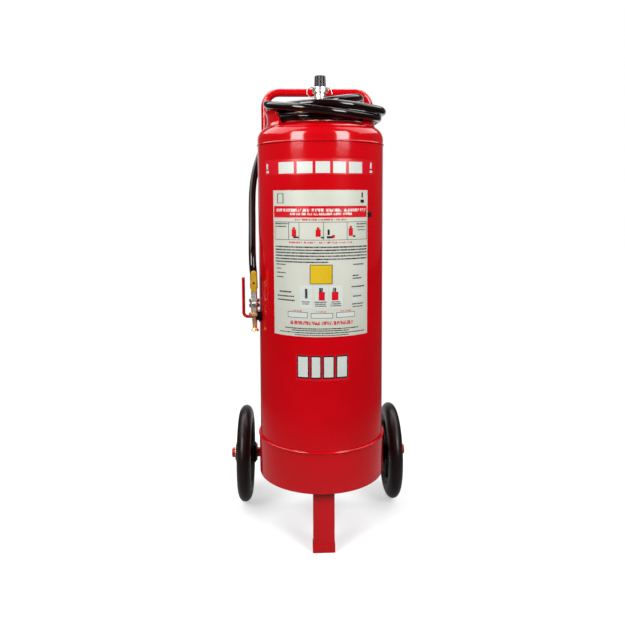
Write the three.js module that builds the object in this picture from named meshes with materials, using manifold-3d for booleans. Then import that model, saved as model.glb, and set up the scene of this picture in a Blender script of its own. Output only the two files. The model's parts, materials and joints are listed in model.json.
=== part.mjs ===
// A wheeled fire extinguisher: a 50 litre steel tank on two rubber wheels and a front leg, with a tube
// frame and handle behind it, a strike knob on the filling head, and a rubber hose that is wound on the
// shoulder and ends in a ball valve and a jet nozzle hung at the left side.
// Millimetres, +Z up, -Y is the front, +X is to the right as one looks at the front.

import * as THREE from "three";
import { mergeVertices } from "three/addons/utils/BufferGeometryUtils.js";
import Module from "manifold-3d";

const wasm = await Module();
wasm.setup();

// ---------------------------------------------------------------- driving dimensions
// A height is above the ground, a rise is above the piece that it names.

const gap = 0.3; // left between solids that touch
const fit = 0.3; // radial room between a shaft and its hole

const tankRadius = 150;
const tankWall = 3;
const tankSides = 40;
const shellBottom = 236;
const seamHeight = 948;
const seamBead = 2; // how far the welded seam stands proud
const crownRadius = 300; // dished ends: crown and knuckle
const knuckleRadius = 30;
const topFlange = 14; // straight part of the top end above the seam
const bottomFlange = 8;

const skirtWall = 2.4;
const skirtAbove = 18; // how far the skirt reaches above and below the shell's lower edge
const skirtBelow = 81;
const skirtBead = 2.6; // radius of the rolled bead at the skirt's top

const guardInset = 23; // how far in from the tank's side the hose guards stand
const guardWall = 3;
const guardRise = 34.8; // rim above the guard's foot on the dome
const guardLip = 5; // how far the rim flares outwards
const guardFlare = 14; // height over which it flares
const guardFoot = 4; // how far the foot spreads on the dome
const guardHalfTop = 71; // half the guard's length along Y, at its rim and at its foot
const guardHalfFoot = 88;

const neckBore = 30;
const neckSpigot = 38;
const neckFlange = 44;
const neckHeight = 15.4;
const gasketHeight = 3;

const headFlangeInset = 3; // how much smaller the head's flange is than the neck's
const headFlangeHeight = 7;
const headSpigot = 12;
const headSpigotLength = 26;
const headStem = 14;
const cupRadius = 18.5;
const cupRise = 39; // cup above the neck
const cupHeight = 13;
const cupDepth = 9.5;
const cupBore = 14.7;
const springBore = 8;
const springRise = 17; // the spring's floor above the neck
const capNutWall = 8; // how far the ring nut reaches beyond the neck's flange
const capNutSkirt = 15;
const capNutLip = 5;
const capNutLugs = 6;

const knobRadius = 13.8;
const knobTaper = 0.9;
const knobRise = 1.2; // knob above the cup's rim, and its height
const knobHeight = 25.8;
const knobRibs = 20;
const knobRibDepth = 0.8;
const rodRadius = 4;
const rodShoulder = 7.4;
const rodShoulderHeight = 3;
const rodBelow = 28; // how far the rod's tip is below the neck's top
const springWire = 0.8;
const springTurns = 5;

const cartridgeRadius = 24;
const cartridgeLength = 250;
const cartridgeNeck = 9;
const sealRadius = 5; // the seal that the rod reaches when it's struck
const sealDepth = 6;
const holderWall = 2.5;
const holderHeight = 34;

const outletAngle = -97; // where the discharge outlet stands, degrees from the front
const outletClear = 16; // its middle from the ring nut's edge
const outletTurn = 17; // how far its mouth turns in from the way round the neck
const bossRadius = 14.5;
const bossRise = 15.4; // boss above the dome, and how far it reaches through
const bossThrough = 9.6;
const siphonSocket = 10; // how far the siphon tube goes into the boss
const elbowRise = 16; // the mouth's middle above the boss
const elbowRadius = 9.5;
const elbowBore = 5.5;
const elbowBend = 12;
const elbowReach = 17;
const siphonRadius = 10;
const siphonWall = 1.4;
const siphonClear = 11.5666; // the tube's foot above the tank's floor under the strainer's outer edge
const strainerRadius = 15;
const strainerHeight = 30;

const hoseRadius = 8.75;
const hoseBore = 5;
const ferruleRadius = 10.8;
const headFerruleLength = 20;
const hoseNutLength = 11;
const dropSteps = 26;

const nozzleOut = 9; // the jet nozzle's mouth: out from the tank's side, forward, and its height
const nozzleForward = 42;
const nozzleHeight = 512;
const nozzleLean = 0.8; // degrees that the hanging nozzle leans out at its top
const flareRadius = 9.5; // jet nozzle, with heights from its mouth
const flareHeight = 8;
const coneBottomRadius = 5;
const coneTopRadius = 6.6;
const flangeBottom = 37;
const flangeHeight = 7;
const flangeFlats = 23.5;
const jetBore = 2.5;
const nippleRadius = 8;
const valveCentre = 67;
const valveHalf = 10;
const valveHexFlats = 21.5;
const valveWaist = 10.3;
const waistBottom = 65.3;
const waistTop = 69;
const valvePort = 4;
const ballRadius = 6.4;
const seatStart = 5; // how far from the ball's middle its seats begin and end
const seatEnd = 7.5;
const stemRadius = 2.5;
const bonnetRadius = 7;
const bonnetReach = 14;
const glandFlats = 12;
const glandHeight = 4;
const tailNarrow = 7.2; // the hose's lower ferrule
const tailWide = 9.3;
const tailStep = 24;
const tailFerruleLength = 41;
const leverWidth = 13;
const leverThickness = 2.5;
const leverReach = 79;
const leverLean = 1.2; // degrees that the lever leans back towards the tank
const gripBottom = 28;
const gripWidth = 14.4;
const gripThickness = 6;
const gripHole = 2.4;
const gripHoleHeight = 22;
const leverNutFlats = 9;
const leverNutHeight = 4;

const hookRadius = 3.7;
const hookReach = 36; // how far out from the tank's side the upright of the hook stands
const hookTop = 639;
const hookBend = 10;
const padHalf = 13;
const padLength = 30;
const padThickness = 3;
const restBottom = 539; // block that steadies the hung nozzle
const restTop = 559.5;
const restFront = 11; // how far it reaches in front of the nozzle's axis
const restReach = 3; // how far out from the tank's side the rest's face stands

const frameTube = 10.5;
const frameInset = 12.5; // the frame's tubes, in from the tank's side
const frameRise = 155; // handle above the seam
const frameBend = 37;
const strapThickness = 4;
const strapHeight = 38;
const strapBeyond = 4.5; // how far a strap reaches past the middle of each tube
const strapDrop = 80; // foot of the upper strap below the seam
const lowerStrapRise = 64; // foot of the lower strap above the shell's lower edge

const wheelRadius = 128.5;
const wheelOut = 49.5; // each wheel's middle from the tank's side
const tyreHalfWidth = 18.5;
const tyreDepth = 36.5; // from the tread to the hub
const hubHalfRim = 15;
const hubHalfWeb = 7;
const hubRimDepth = 12;
const bossHalfWidth = 27;
const bushWall = 3.5;
const hubWall = 16.5; // the hub's boss round its bush
const axleRadius = 12.5;
const spindleRadius = 9;
const spindleThread = 7; // how far the spindle reaches into its cap
const innerWasherWidth = 14;
const innerWasherThickness = 3;
const outerWasherWidth = 11;
const outerWasherThickness = 2.2;
const axleCapWall = 4.2;
const axleCapLength = 9;
const bracketPlace = 62;
const bracketThickness = 6;
const bracketDrop = 4; // top of the axle's brackets below the shell's lower edge
const bracketFoot = 6; // how far the bracket reaches round the axle

const legWidth = 50;
const legDepth = 25;
const legWall = 2.5;
const legInset = 25; // the leg's front, in from the tank's side
const shoeWall = 0.9;
const shoeFloor = 3;
const shoeHeight = 22;

const labelStart = -47.5; // degrees from the front, left and right
const labelEnd = 42;
const labelHeight = 325;
const labelDrop = 105; // top of the label below the seam
const labelThickness = 0.5;

const clipWire = 1;
const clipDrop = 8; // below the cup's rim
const clipRing = 11.5;
const clipRingPlace = -19.5;

// ---------------------------------------------------------------- sizes that follow

const tangentTop = seamHeight + gap + topFlange;
const tangentBottom = shellBottom - gap - bottomFlange;
const skirtBottom = shellBottom - skirtBelow;
const skirtTop = shellBottom + skirtAbove;

const guardRadius = tankRadius - guardInset;
const guardRim = crownHeight(guardRadius) + guardRise;

const neckBase = crownHeight(0) + 0.17;
const neckTop = neckBase + neckHeight;
const headBase = neckTop + gap + gasketHeight + gap;
const headFlange = neckFlange - headFlangeInset;
const cupBottom = neckTop + cupRise;
const cupTop = cupBottom + cupHeight;
const springFloor = neckTop + springRise;
const capNutRadius = neckFlange + capNutWall;
const knobBottom = cupTop + knobRise;
const knobTop = knobBottom + knobHeight;
const pierceTip = neckTop - rodBelow;
const clipHeight = cupTop - clipDrop;

const outletDistance = capNutRadius + outletClear;
const bossTop = crownHeight(outletDistance) + bossRise;
const bossBottom = crownHeight(outletDistance) - bossThrough;
const elbowHeight = bossTop + elbowRise;
const siphonFoot = floorHeight(outletDistance + strainerRadius) + siphonClear;

const nozzleTip = new THREE.Vector3(-tankRadius - nozzleOut, -nozzleForward, nozzleHeight);
const lean = THREE.MathUtils.degToRad(nozzleLean);
const hookOut = tankRadius + hookReach;
const restFace = tankRadius + restReach;

const frameHalfWidth = tankRadius - frameInset;
const frameY = tankRadius + gap + strapThickness + gap + frameTube;
const frameTop = seamHeight + frameRise;
const strapHalf = frameHalfWidth + strapBeyond;
const upperStrapHeight = seamHeight - strapDrop;
const lowerStrapHeight = shellBottom + lowerStrapRise;

const axleHeight = wheelRadius;
const wheelMiddle = tankRadius + wheelOut;
const tyreInner = wheelRadius - tyreDepth;
const bushRadius = spindleRadius + bushWall;
const hubBoss = bushRadius + hubWall;
const innerWasherRadius = spindleRadius + innerWasherWidth;
const outerWasherRadius = spindleRadius + outerWasherWidth;
const axleCapRadius = spindleRadius + axleCapWall;
const hubOuter = wheelMiddle + bossHalfWidth;
const hubInner = wheelMiddle - bossHalfWidth;
const axleShoulder = hubInner - gap - innerWasherThickness - gap;
const bracketTop = shellBottom - bracketDrop;

const legFront = legInset - tankRadius;
const labelTop = seamHeight - labelDrop;
const labelBottom = labelTop - labelHeight;

// ---------------------------------------------------------------- materials

function finish(color, roughness, metalness) {
  return new THREE.MeshStandardMaterial({ color, roughness, metalness });
}

const redPaint = finish(0xb8121b, 0.22, 0.1);
const blackRubber = finish(0x1a1012, 0.35, 0);
const tyreRubber = finish(0x24181a, 0.6, 0);
const blackPlastic = finish(0x2a1f20, 0.5, 0);
const brightSteel = finish(0xc9c6c0, 0.25, 1);
const nickel = finish(0xb9a98c, 0.3, 1);
const brass = finish(0xb07c45, 0.3, 1);
const zincSteel = finish(0xcfc4a4, 0.45, 0.8);
const yellowGrip = finish(0xd9a512, 0.45, 0);
const whitePlastic = finish(0xe8e6e0, 0.5, 0);
const cartridgeSteel = finish(0x8f9296, 0.45, 0.7);
const labelSilver = finish(0xc9cbc5, 0.5, 0.2);

// ---------------------------------------------------------------- geometry helpers

const model = new THREE.Group();
const object = new THREE.Group();
model.add(object);

function piece(name, geometry, material, parent = object) {
  const mesh = new THREE.Mesh(geometry, material);
  mesh.name = name;
  parent.add(mesh);
  return mesh;
}

// Turns a profile of [radius, height] points round the Z axis.
function turned(profile, sides) {
  const points = profile.map(([r, z]) => new THREE.Vector2(r, z));
  return new THREE.LatheGeometry(points, sides).rotateX(Math.PI / 2);
}

// A ring or tube between two radii and two heights.
function ring(inner, outer, bottom, top, sides) {
  return turned([[inner, bottom], [outer, bottom], [outer, top], [inner, top], [inner, bottom]], sides);
}

function disc(radius, bottom, top, sides) {
  return turned([[0, bottom], [radius, bottom], [radius, top], [0, top]], sides);
}

function hexPrism(flats, bottom, top) {
  return disc(flats / Math.sqrt(3), bottom, top, 6).rotateZ(Math.PI / 2);
}

function box(x0, x1, y0, y1, z0, z1) {
  const geometry = new THREE.BoxGeometry(x1 - x0, y1 - y0, z1 - z0);
  return geometry.translate((x0 + x1) / 2, (y0 + y1) / 2, (z0 + z1) / 2);
}

function arc(cx, cy, radius, from, to, steps) {
  const points = [];
  for (let i = 0; i <= steps; i++) {
    const a = THREE.MathUtils.degToRad(from + ((to - from) * i) / steps);
    points.push([cx + radius * Math.cos(a), cy + radius * Math.sin(a)]);
  }
  return points;
}

function roundSection(radius, sides) {
  const points = [];
  for (let i = 0; i < sides; i++) {
    const a = (2 * Math.PI * i) / sides;
    points.push(new THREE.Vector2(radius * Math.cos(a), radius * Math.sin(a)));
  }
  return new THREE.Shape(points);
}

// A round bar along a curve. A curve that is straight at its ends gets square ends.
function bar(curve, radius, steps, sides) {
  const settings = { steps, extrudePath: curve, bevelEnabled: false };
  return new THREE.ExtrudeGeometry(roundSection(radius, sides), settings);
}

function solidOf(geometry) {
  const bare = geometry.clone();
  bare.deleteAttribute("normal");
  bare.deleteAttribute("uv");
  const merged = mergeVertices(bare, 1e-4);
  const vertProperties = new Float32Array(merged.attributes.position.array);
  const triVerts = new Uint32Array(merged.index.array);
  return new wasm.Manifold(new wasm.Mesh({ numProp: 3, vertProperties, triVerts }));
}

function geometryOf(solid) {
  const mesh = solid.getMesh();
  const geometry = new THREE.BufferGeometry();
  geometry.setAttribute("position", new THREE.BufferAttribute(new Float32Array(mesh.vertProperties), 3));
  geometry.setIndex(new THREE.BufferAttribute(new Uint32Array(mesh.triVerts), 1));
  return geometry;
}

function joined(...geometries) {
  return geometryOf(geometries.map(solidOf).reduce((a, b) => a.add(b)));
}

function cut(geometry, ...tools) {
  return geometryOf(tools.map(solidOf).reduce((a, b) => a.subtract(b), solidOf(geometry)));
}

function shared(a, b) {
  return geometryOf(solidOf(a).intersect(solidOf(b)));
}

// A path of straight runs with round corners, for bent bars and tubes.
function bentPath(corners, radius) {
  const path = new THREE.CurvePath();
  let from = corners[0];
  for (let i = 1; i < corners.length - 1; i++) {
    const back = corners[i - 1].clone().sub(corners[i]).normalize();
    const ahead = corners[i + 1].clone().sub(corners[i]).normalize();
    const half = back.angleTo(ahead) / 2;
    const setback = radius / Math.tan(half);
    const start = corners[i].clone().addScaledVector(back, setback);
    const end = corners[i].clone().addScaledVector(ahead, setback);
    path.add(new THREE.LineCurve3(from, start));
    path.add(new THREE.QuadraticBezierCurve3(start, corners[i], end));
    from = end;
  }
  path.add(new THREE.LineCurve3(from, corners[corners.length - 1]));
  return path;
}

// A bar along a bent path, with its rings placed at the bends instead of evenly.
function bentBar(corners, bendRadius, radius, sides, bendSteps) {
  const path = bentPath(corners, bendRadius);
  const points = [];
  path.curves.forEach((curve) => {
    const steps = curve.isLineCurve3 ? 1 : bendSteps;
    for (let i = 0; i < steps; i++) points.push(curve.getPoint(i / steps));
  });
  points.push(corners[corners.length - 1].clone());
  return tubeAlong(points, radius, sides);
}

// One closed round tube through rings at the given points, its end rings square to its end runs.
function tubeAlong(points, radius, sides) {
  const last = points.length - 1;
  const tangents = points.map((p, i) => {
    const before = points[Math.max(i - 1, 0)];
    const after = points[Math.min(i + 1, last)];
    const inward = p.clone().sub(before).normalize();
    const outward = after.clone().sub(p).normalize();
    return inward.add(outward).normalize();
  });
  const position = [];
  let side = new THREE.Vector3(0, 0, 1).cross(tangents[0]);
  if (side.length() < 0.1) side = new THREE.Vector3(1, 0, 0).cross(tangents[0]);
  side.normalize();
  points.forEach((p, i) => {
    side.addScaledVector(tangents[i], -side.dot(tangents[i])).normalize();
    const up = tangents[i].clone().cross(side);
    for (let k = 0; k < sides; k++) {
      const a = (2 * Math.PI * k) / sides;
      const q = p.clone();
      q.addScaledVector(side, radius * Math.cos(a)).addScaledVector(up, radius * Math.sin(a));
      position.push(q.x, q.y, q.z);
    }
  });
  const index = [];
  for (let i = 0; i < last; i++) {
    for (let k = 0; k < sides; k++) {
      const next = (k + 1) % sides;
      const a = i * sides + k;
      const b = i * sides + next;
      index.push(a, b, b + sides, a, b + sides, a + sides);
    }
  }
  for (let k = 1; k < sides - 1; k++) {
    index.push(0, k + 1, k);
    index.push(last * sides, last * sides + k, last * sides + k + 1);
  }
  const geometry = new THREE.BufferGeometry();
  geometry.setAttribute("position", new THREE.Float32BufferAttribute(position, 3));
  geometry.setIndex(index);
  return geometry;
}

// The upper half of a dished end, from its tangent line to the axis, as [radius, height] points.
function dishedEnd(outside, crown, knuckle, tangent, steps, down = false) {
  const centre = outside - knuckle;
  const turn = THREE.MathUtils.radToDeg(Math.asin(centre / (crown - knuckle)));
  const depth = crown - Math.sqrt((crown - knuckle) ** 2 - centre ** 2);
  const round = arc(centre, 0, knuckle, 0, 90 - turn, steps);
  const top = arc(0, depth - crown, crown, 90 - turn, 90, steps).slice(1);
  const sign = down ? -1 : 1;
  return [...round, ...top].map(([r, z]) => [Math.abs(r) < 1e-6 ? 0 : r, tangent + sign * z]);
}

// How far a dished end stands out from its tangent line at the axis.
function crownDepth() {
  const centre = tankRadius - knuckleRadius;
  return crownRadius - Math.sqrt((crownRadius - knuckleRadius) ** 2 - centre ** 2);
}

function crownHeight(distance) {
  return tangentTop + crownDepth() - crownRadius + Math.sqrt(crownRadius ** 2 - distance ** 2);
}

// Height of the tank's floor inside, at a distance from its axis.
function floorHeight(distance) {
  const middle = tangentBottom - crownDepth() + crownRadius;
  return middle - Math.sqrt((crownRadius - tankWall) ** 2 - distance ** 2);
}

// A point at an angle from the front, turning towards +X, at a distance from the tank's axis.
function around(angle, distance, height) {
  const a = THREE.MathUtils.degToRad(angle);
  return new THREE.Vector3(distance * Math.sin(a), -distance * Math.cos(a), height);
}

// ---------------------------------------------------------------- tank

function tankShell() {
  piece("tank_shell", ring(tankRadius - tankWall, tankRadius, shellBottom, seamHeight, tankSides), redPaint);
}

function topDome() {
  const base = seamHeight + gap;
  const outer = dishedEnd(tankRadius, crownRadius, knuckleRadius, tangentTop, 3);
  const inner = dishedEnd(
    tankRadius - tankWall,
    crownRadius - tankWall,
    knuckleRadius - tankWall,
    tangentTop,
    2,
  ).reverse();
  const bead = [
    [tankRadius, base],
    [tankRadius + seamBead, base + 1],
    [tankRadius + seamBead, base + 3],
    [tankRadius, base + 4.5],
  ];
  const shell = turned([...bead, ...outer, ...inner, [tankRadius - tankWall, base], bead[0]], tankSides);
  const neckHole = disc(neckSpigot + fit, base, neckTop, 24);
  const outlet = around(outletAngle, outletDistance, 0);
  const outletHole = disc(bossRadius + fit, base, bossTop, 24).translate(outlet.x, outlet.y, 0);
  piece("top_dome", cut(shell, neckHole, outletHole), redPaint);
}

function bottomDome() {
  const top = shellBottom - gap;
  const outer = dishedEnd(tankRadius, crownRadius, knuckleRadius, tangentBottom, 3, true).reverse();
  const inner = dishedEnd(
    tankRadius - tankWall,
    crownRadius - tankWall,
    knuckleRadius - tankWall,
    tangentBottom,
    2,
    true,
  );
  const rim = [
    [tankRadius, top],
    [tankRadius - tankWall, top],
  ];
  piece("bottom_dome", turned([...outer, ...rim, ...inner], tankSides), redPaint);
}

function skirt() {
  const inside = tankRadius + gap;
  const outside = inside + skirtWall;
  const bead = arc(outside, skirtTop - skirtBead, skirtBead, -80, 90, 3);
  const foot = [
    [inside - 1, skirtBottom],
    [outside - 2, skirtBottom],
    [outside, skirtBottom + 4],
  ];
  const top = [
    [inside, skirtTop],
    [inside, skirtBottom + 3],
    foot[0],
  ];
  piece("skirt", turned([...foot, ...bead, ...top], tankSides), redPaint);
}

function hoseGuards() {
  const outside = guardRadius;
  const inside = guardRadius - guardWall;
  const flareStart = guardRim - guardFlare;
  const foot = crownHeight(outside) + gap;
  const footOut = crownHeight(outside + guardFoot) + gap;
  const profile = [
    [inside, crownHeight(inside) + gap],
    [outside, foot],
    [outside + guardFoot, footOut],
    [outside + guardFoot, footOut + 1],
    [outside + 1, foot + 6],
    [outside, foot + 10],
    [outside, flareStart],
    [outside + 0.3 * guardLip, flareStart + 0.55 * guardFlare],
    [outside + guardLip, guardRim - 0.5],
    [outside + guardLip - 1.6, guardRim],
    [inside + 0.3 * guardLip, flareStart + 0.6 * guardFlare],
    [inside, flareStart],
    [inside, crownHeight(inside) + gap],
  ];
  const whole = turned(profile, tankSides);
  const outline = new THREE.Shape();
  outline.moveTo(-guardHalfFoot, footOut - 4);
  outline.lineTo(guardHalfFoot, footOut - 4);
  outline.lineTo(guardHalfTop, guardRim + 1);
  outline.lineTo(-guardHalfTop, guardRim + 1);
  outline.closePath();
  const window = new THREE.ExtrudeGeometry(outline, { depth: 200, bevelEnabled: false });
  window.rotateX(Math.PI / 2).rotateZ(Math.PI / 2);
  const right = shared(whole, window);
  piece("hose_guard_right", right, redPaint);
  piece("hose_guard_left", shared(whole, window.clone().translate(-200, 0, 0)), redPaint);
}

// How far out a flat-sided cylinder's side lies at an angle, where its corners lie at a radius.
function sideRadius(radius, angle) {
  const flat = 360 / tankSides;
  const fromMiddle = ((((angle % flat) + flat) % flat) - flat / 2) * THREE.MathUtils.DEG2RAD;
  return (radius * Math.cos(Math.PI / tankSides)) / Math.cos(fromMiddle);
}

function frontLabel() {
  const flat = 360 / tankSides;
  const angles = [labelStart];
  for (let a = Math.ceil(labelStart / flat) * flat; a < labelEnd; a += flat) angles.push(a);
  angles.push(labelEnd);
  const inner = angles.map((a) => around(a, sideRadius(tankRadius + gap, a), 0));
  const outer = angles.map((a) => around(a, sideRadius(tankRadius + gap + labelThickness, a), 0));
  const outline = new THREE.Shape([...outer, ...inner.reverse()].map((p) => new THREE.Vector2(p.x, p.y)));
  const sheet = new THREE.ExtrudeGeometry(outline, { depth: labelTop - labelBottom, bevelEnabled: false });
  piece("front_label", sheet.translate(0, 0, labelBottom), labelSilver);
}

// ---------------------------------------------------------------- filling neck and head

function neck() {
  const bottom = crownHeight(neckSpigot) - 12;
  const profile = [
    [neckBore, bottom],
    [neckSpigot, bottom],
    [neckSpigot, neckBase],
    [neckFlange, neckBase],
    [neckFlange, neckTop],
    [neckBore, neckTop],
    [neckBore, bottom],
  ];
  piece("neck_ring", turned(profile, 24), redPaint);
  const gasketBottom = neckTop + gap;
  const gasket = ring(neckBore + 1, headFlange, gasketBottom, gasketBottom + gasketHeight, 24);
  piece("neck_gasket", gasket, blackRubber);
}

function valveHead() {
  const spigotBottom = headBase - headSpigotLength;
  const flangeTop = headBase + headFlangeHeight;
  const profile = [
    [rodRadius + fit, spigotBottom],
    [headSpigot, spigotBottom],
    [headSpigot, headBase],
    [headFlange, headBase],
    [headFlange, flangeTop],
    [headStem, flangeTop],
    [headStem, cupBottom],
    [cupRadius, cupBottom],
    [cupRadius, cupTop - 1],
    [cupRadius - 1, cupTop],
    [cupBore, cupTop],
    [cupBore, cupTop - cupDepth],
    [springBore, cupTop - cupDepth],
    [springBore, springFloor],
    [rodRadius + fit, springFloor],
    [rodRadius + fit, spigotBottom],
  ];
  const pinHole = disc(clipWire + fit, cupBore - 2, cupRadius + 2, 8).rotateX(-Math.PI / 2);
  piece("valve_head", cut(turned(profile, 24), pinHole.translate(0, 0, clipHeight)), brightSteel);
}

function capNut() {
  const flangeTop = headBase + headFlangeHeight;
  const bottom = headBase - capNutSkirt;
  const top = flangeTop + gap + capNutLip;
  const profile = [
    [neckFlange + fit, bottom],
    [capNutRadius - 4, bottom],
    [capNutRadius - 4, top - 2],
    [capNutRadius - 6, top],
    [headStem + 5, top],
    [headStem + 5, flangeTop + gap],
    [neckFlange + fit, flangeTop + gap],
    [neckFlange + fit, bottom],
  ];
  const lugs = [];
  for (let i = 0; i < capNutLugs; i++) {
    const lug = box(capNutRadius - 5.5, capNutRadius, -7, 7, bottom + 3, top - 3);
    lugs.push(lug.rotateZ((2 * Math.PI * i) / capNutLugs));
  }
  piece("cap_nut", joined(turned(profile, 24), ...lugs), brass);
}

function strikeKnob() {
  const outline = new THREE.Shape();
  for (let i = 0; i < 4 * knobRibs; i++) {
    const a = (2 * Math.PI * i) / (4 * knobRibs);
    const r = knobRadius - (i % 4 < 2 ? 0 : knobRibDepth);
    if (i) outline.lineTo(r * Math.cos(a), r * Math.sin(a));
    else outline.moveTo(r * Math.cos(a), r * Math.sin(a));
  }
  outline.closePath();
  const height = knobTop - knobBottom;
  const knob = new THREE.ExtrudeGeometry(outline, { depth: height, bevelEnabled: false });
  knob.translate(0, 0, knobBottom);
  const taper = knobTaper / knobRadius;
  const place = knob.attributes.position;
  for (let i = 0; i < place.count; i++) {
    const scale = 1 - (taper * (place.getZ(i) - knobBottom)) / height;
    place.setXY(i, place.getX(i) * scale, place.getY(i) * scale);
  }
  const rodHole = disc(rodRadius + gap, knobBottom - 1, knobBottom + 12, 12);
  piece("strike_knob", cut(knob, rodHole), blackPlastic);
}

function strikeRod() {
  const shoulder = springFloor + gap + springLength() + gap;
  const profile = [
    [0, pierceTip],
    [1.2, pierceTip],
    [rodRadius, pierceTip + 8],
    [rodRadius, shoulder],
    [rodShoulder, shoulder],
    [rodShoulder, shoulder + rodShoulderHeight],
    [rodRadius, shoulder + rodShoulderHeight],
    [rodRadius, knobBottom + 11.5],
    [0, knobBottom + 11.5],
  ];
  piece("strike_rod", turned(profile, 12), brightSteel);
}

function springLength() {
  return cupTop - cupDepth - springFloor - 2 * gap;
}

function strikeSpring() {
  const length = springLength();
  const middle = (springBore + rodRadius) / 2;
  const rise = length - 2 * springWire;
  const points = [];
  const steps = springTurns * 8;
  for (let i = 0; i <= steps; i++) {
    const a = (2 * Math.PI * i) / 8;
    const z = springFloor + gap + springWire + (rise * i) / steps;
    points.push(new THREE.Vector3(middle * Math.cos(a), middle * Math.sin(a), z));
  }
  piece("strike_spring", tubeAlong(points, springWire, 5), brightSteel);
}

// The safety clip: a pull ring, a springy bent tail and a pin that stands in the cup's wall.
function safetyClip() {
  const y = cupRadius + gap + clipWire;
  const at = (x, z) => new THREE.Vector3(x, y, z);
  const corners = [
    at(30, clipHeight - 4),
    at(28, clipHeight + 4),
    at(23.5, clipHeight + 15),
    at(19, clipHeight),
    at(clipRingPlace + clipRing - 1, clipHeight),
  ];
  const tail = bentBar(corners, 1.2, clipWire, 6, 3);
  const hoop = new THREE.TorusGeometry(clipRing, clipWire, 5, 20).rotateX(Math.PI / 2);
  hoop.translate(clipRingPlace, y, clipHeight);
  const pin = disc(clipWire, cupBore + gap, y, 8).rotateX(-Math.PI / 2).translate(0, 0, clipHeight);
  piece("safety_clip", joined(tail, hoop, pin), brightSteel);
}

function gasCartridge() {
  const holderTop = headBase - headSpigotLength - gap;
  const bore = cartridgeNeck + gap;
  const holder = [
    [bore, holderTop - 8],
    [bore + 0.4, holderTop - holderHeight],
    [cartridgeRadius + gap, holderTop - holderHeight],
    [cartridgeRadius + gap, holderTop - holderHeight - 20],
    [cartridgeRadius + gap + holderWall, holderTop - holderHeight - 20],
    [cartridgeRadius + gap + holderWall, holderTop - holderHeight + 6],
    [headSpigot + gap + holderWall, holderTop - 6],
    [headSpigot + gap + holderWall, holderTop + 16],
    [headSpigot + gap, holderTop + 16],
    [headSpigot + gap, holderTop - 8],
    [bore, holderTop - 8],
  ];
  piece("cartridge_holder", turned(holder, 24), brass);
  const neckTopHeight = holderTop - 10;
  const shoulder = holderTop - holderHeight - gap;
  const cartridge = [
    [0, shoulder - cartridgeLength],
    [cartridgeRadius - 10, shoulder - cartridgeLength],
    [cartridgeRadius, shoulder - cartridgeLength + 10],
    [cartridgeRadius, shoulder - 12],
    [cartridgeNeck, shoulder - 1],
    [cartridgeNeck, neckTopHeight],
    [sealRadius, neckTopHeight],
    [sealRadius, neckTopHeight - sealDepth],
    [0, neckTopHeight - sealDepth],
  ];
  piece("gas_cartridge", turned(cartridge, 24), cartridgeSteel);
}

// ---------------------------------------------------------------- discharge outlet

const outletGroup = new THREE.Group();
const outletPlace = around(outletAngle, outletDistance, 0);
const outletHeading = THREE.MathUtils.degToRad(outletAngle - 180 - outletTurn);
outletGroup.position.copy(outletPlace);
outletGroup.rotation.z = outletHeading; // its own +X then runs clockwise round the neck
object.add(outletGroup);

function dischargeOutlet() {
  const boss = ring(siphonRadius + fit, bossRadius, bossBottom, bossTop, 24);
  piece("discharge_boss", boss, redPaint, outletGroup);
  const siphonTop = bossBottom + siphonSocket;
  const siphon = ring(siphonRadius - siphonWall, siphonRadius, siphonFoot, siphonTop, 16);
  piece("siphon_tube", siphon, cartridgeSteel, outletGroup);
  const cup = turned(
    [
      [0, siphonFoot - 8],
      [strainerRadius, siphonFoot - 8],
      [strainerRadius, siphonFoot - 8 + strainerHeight - 6],
      [siphonRadius + fit + 1.6, siphonFoot - 8 + strainerHeight],
      [siphonRadius + fit, siphonFoot - 8 + strainerHeight],
      [siphonRadius + fit, siphonFoot + 2],
      [strainerRadius - 2, siphonFoot + 1],
      [strainerRadius - 2, siphonFoot - 6],
      [0, siphonFoot - 6],
    ],
    20,
  );
  const slots = [0, 1, 2].map((i) => {
    const slot = box(-20, 20, -1.2, 1.2, siphonFoot - 5, siphonFoot);
    return slot.rotateZ((Math.PI * i) / 3);
  });
  piece("siphon_strainer", cut(cup, ...slots), brass, outletGroup);

  const bottom = new THREE.Vector3(0, 0, bossBottom + siphonSocket + gap);
  const corner = new THREE.Vector3(0, 0, elbowHeight);
  const mouth = new THREE.Vector3(elbowReach, 0, elbowHeight);
  const outer = bentBar([bottom, corner, mouth], elbowBend, elbowRadius, 12, 4);
  const below = bottom.clone().setZ(bottom.z - 2);
  const beyond = mouth.clone().setX(mouth.x + 2);
  const bore = bentBar([below, corner, beyond], elbowBend, elbowBore, 8, 4);
  const hex = hexPrism(2 * bossRadius - 4, bossTop + gap, bossTop + 7);
  const collar = hexPrism(2 * ferruleRadius - 2, 0, 5).rotateY(Math.PI / 2);
  collar.translate(elbowReach - 5, 0, elbowHeight);
  piece("discharge_elbow", cut(joined(outer, hex, collar), bore), brass, outletGroup);

  const nutStart = elbowReach + gap;
  const nutRing = ring(hoseBore, ferruleRadius, 0, 4, 24);
  const nutHex = cut(hexPrism(2 * ferruleRadius - 1, 4, hoseNutLength), disc(hoseBore, 3, 15, 24));
  const nut = joined(nutRing, nutHex);
  nut.rotateY(Math.PI / 2).translate(nutStart, 0, elbowHeight);
  piece("hose_nut", nut, brass, outletGroup);
  const ferruleStart = nutStart + hoseNutLength + gap;
  const ferrule = grooved(headFerruleLength);
  ferrule.rotateY(Math.PI / 2).translate(ferruleStart, 0, elbowHeight);
  piece("head_ferrule", ferrule, brightSteel, outletGroup);
}

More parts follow.
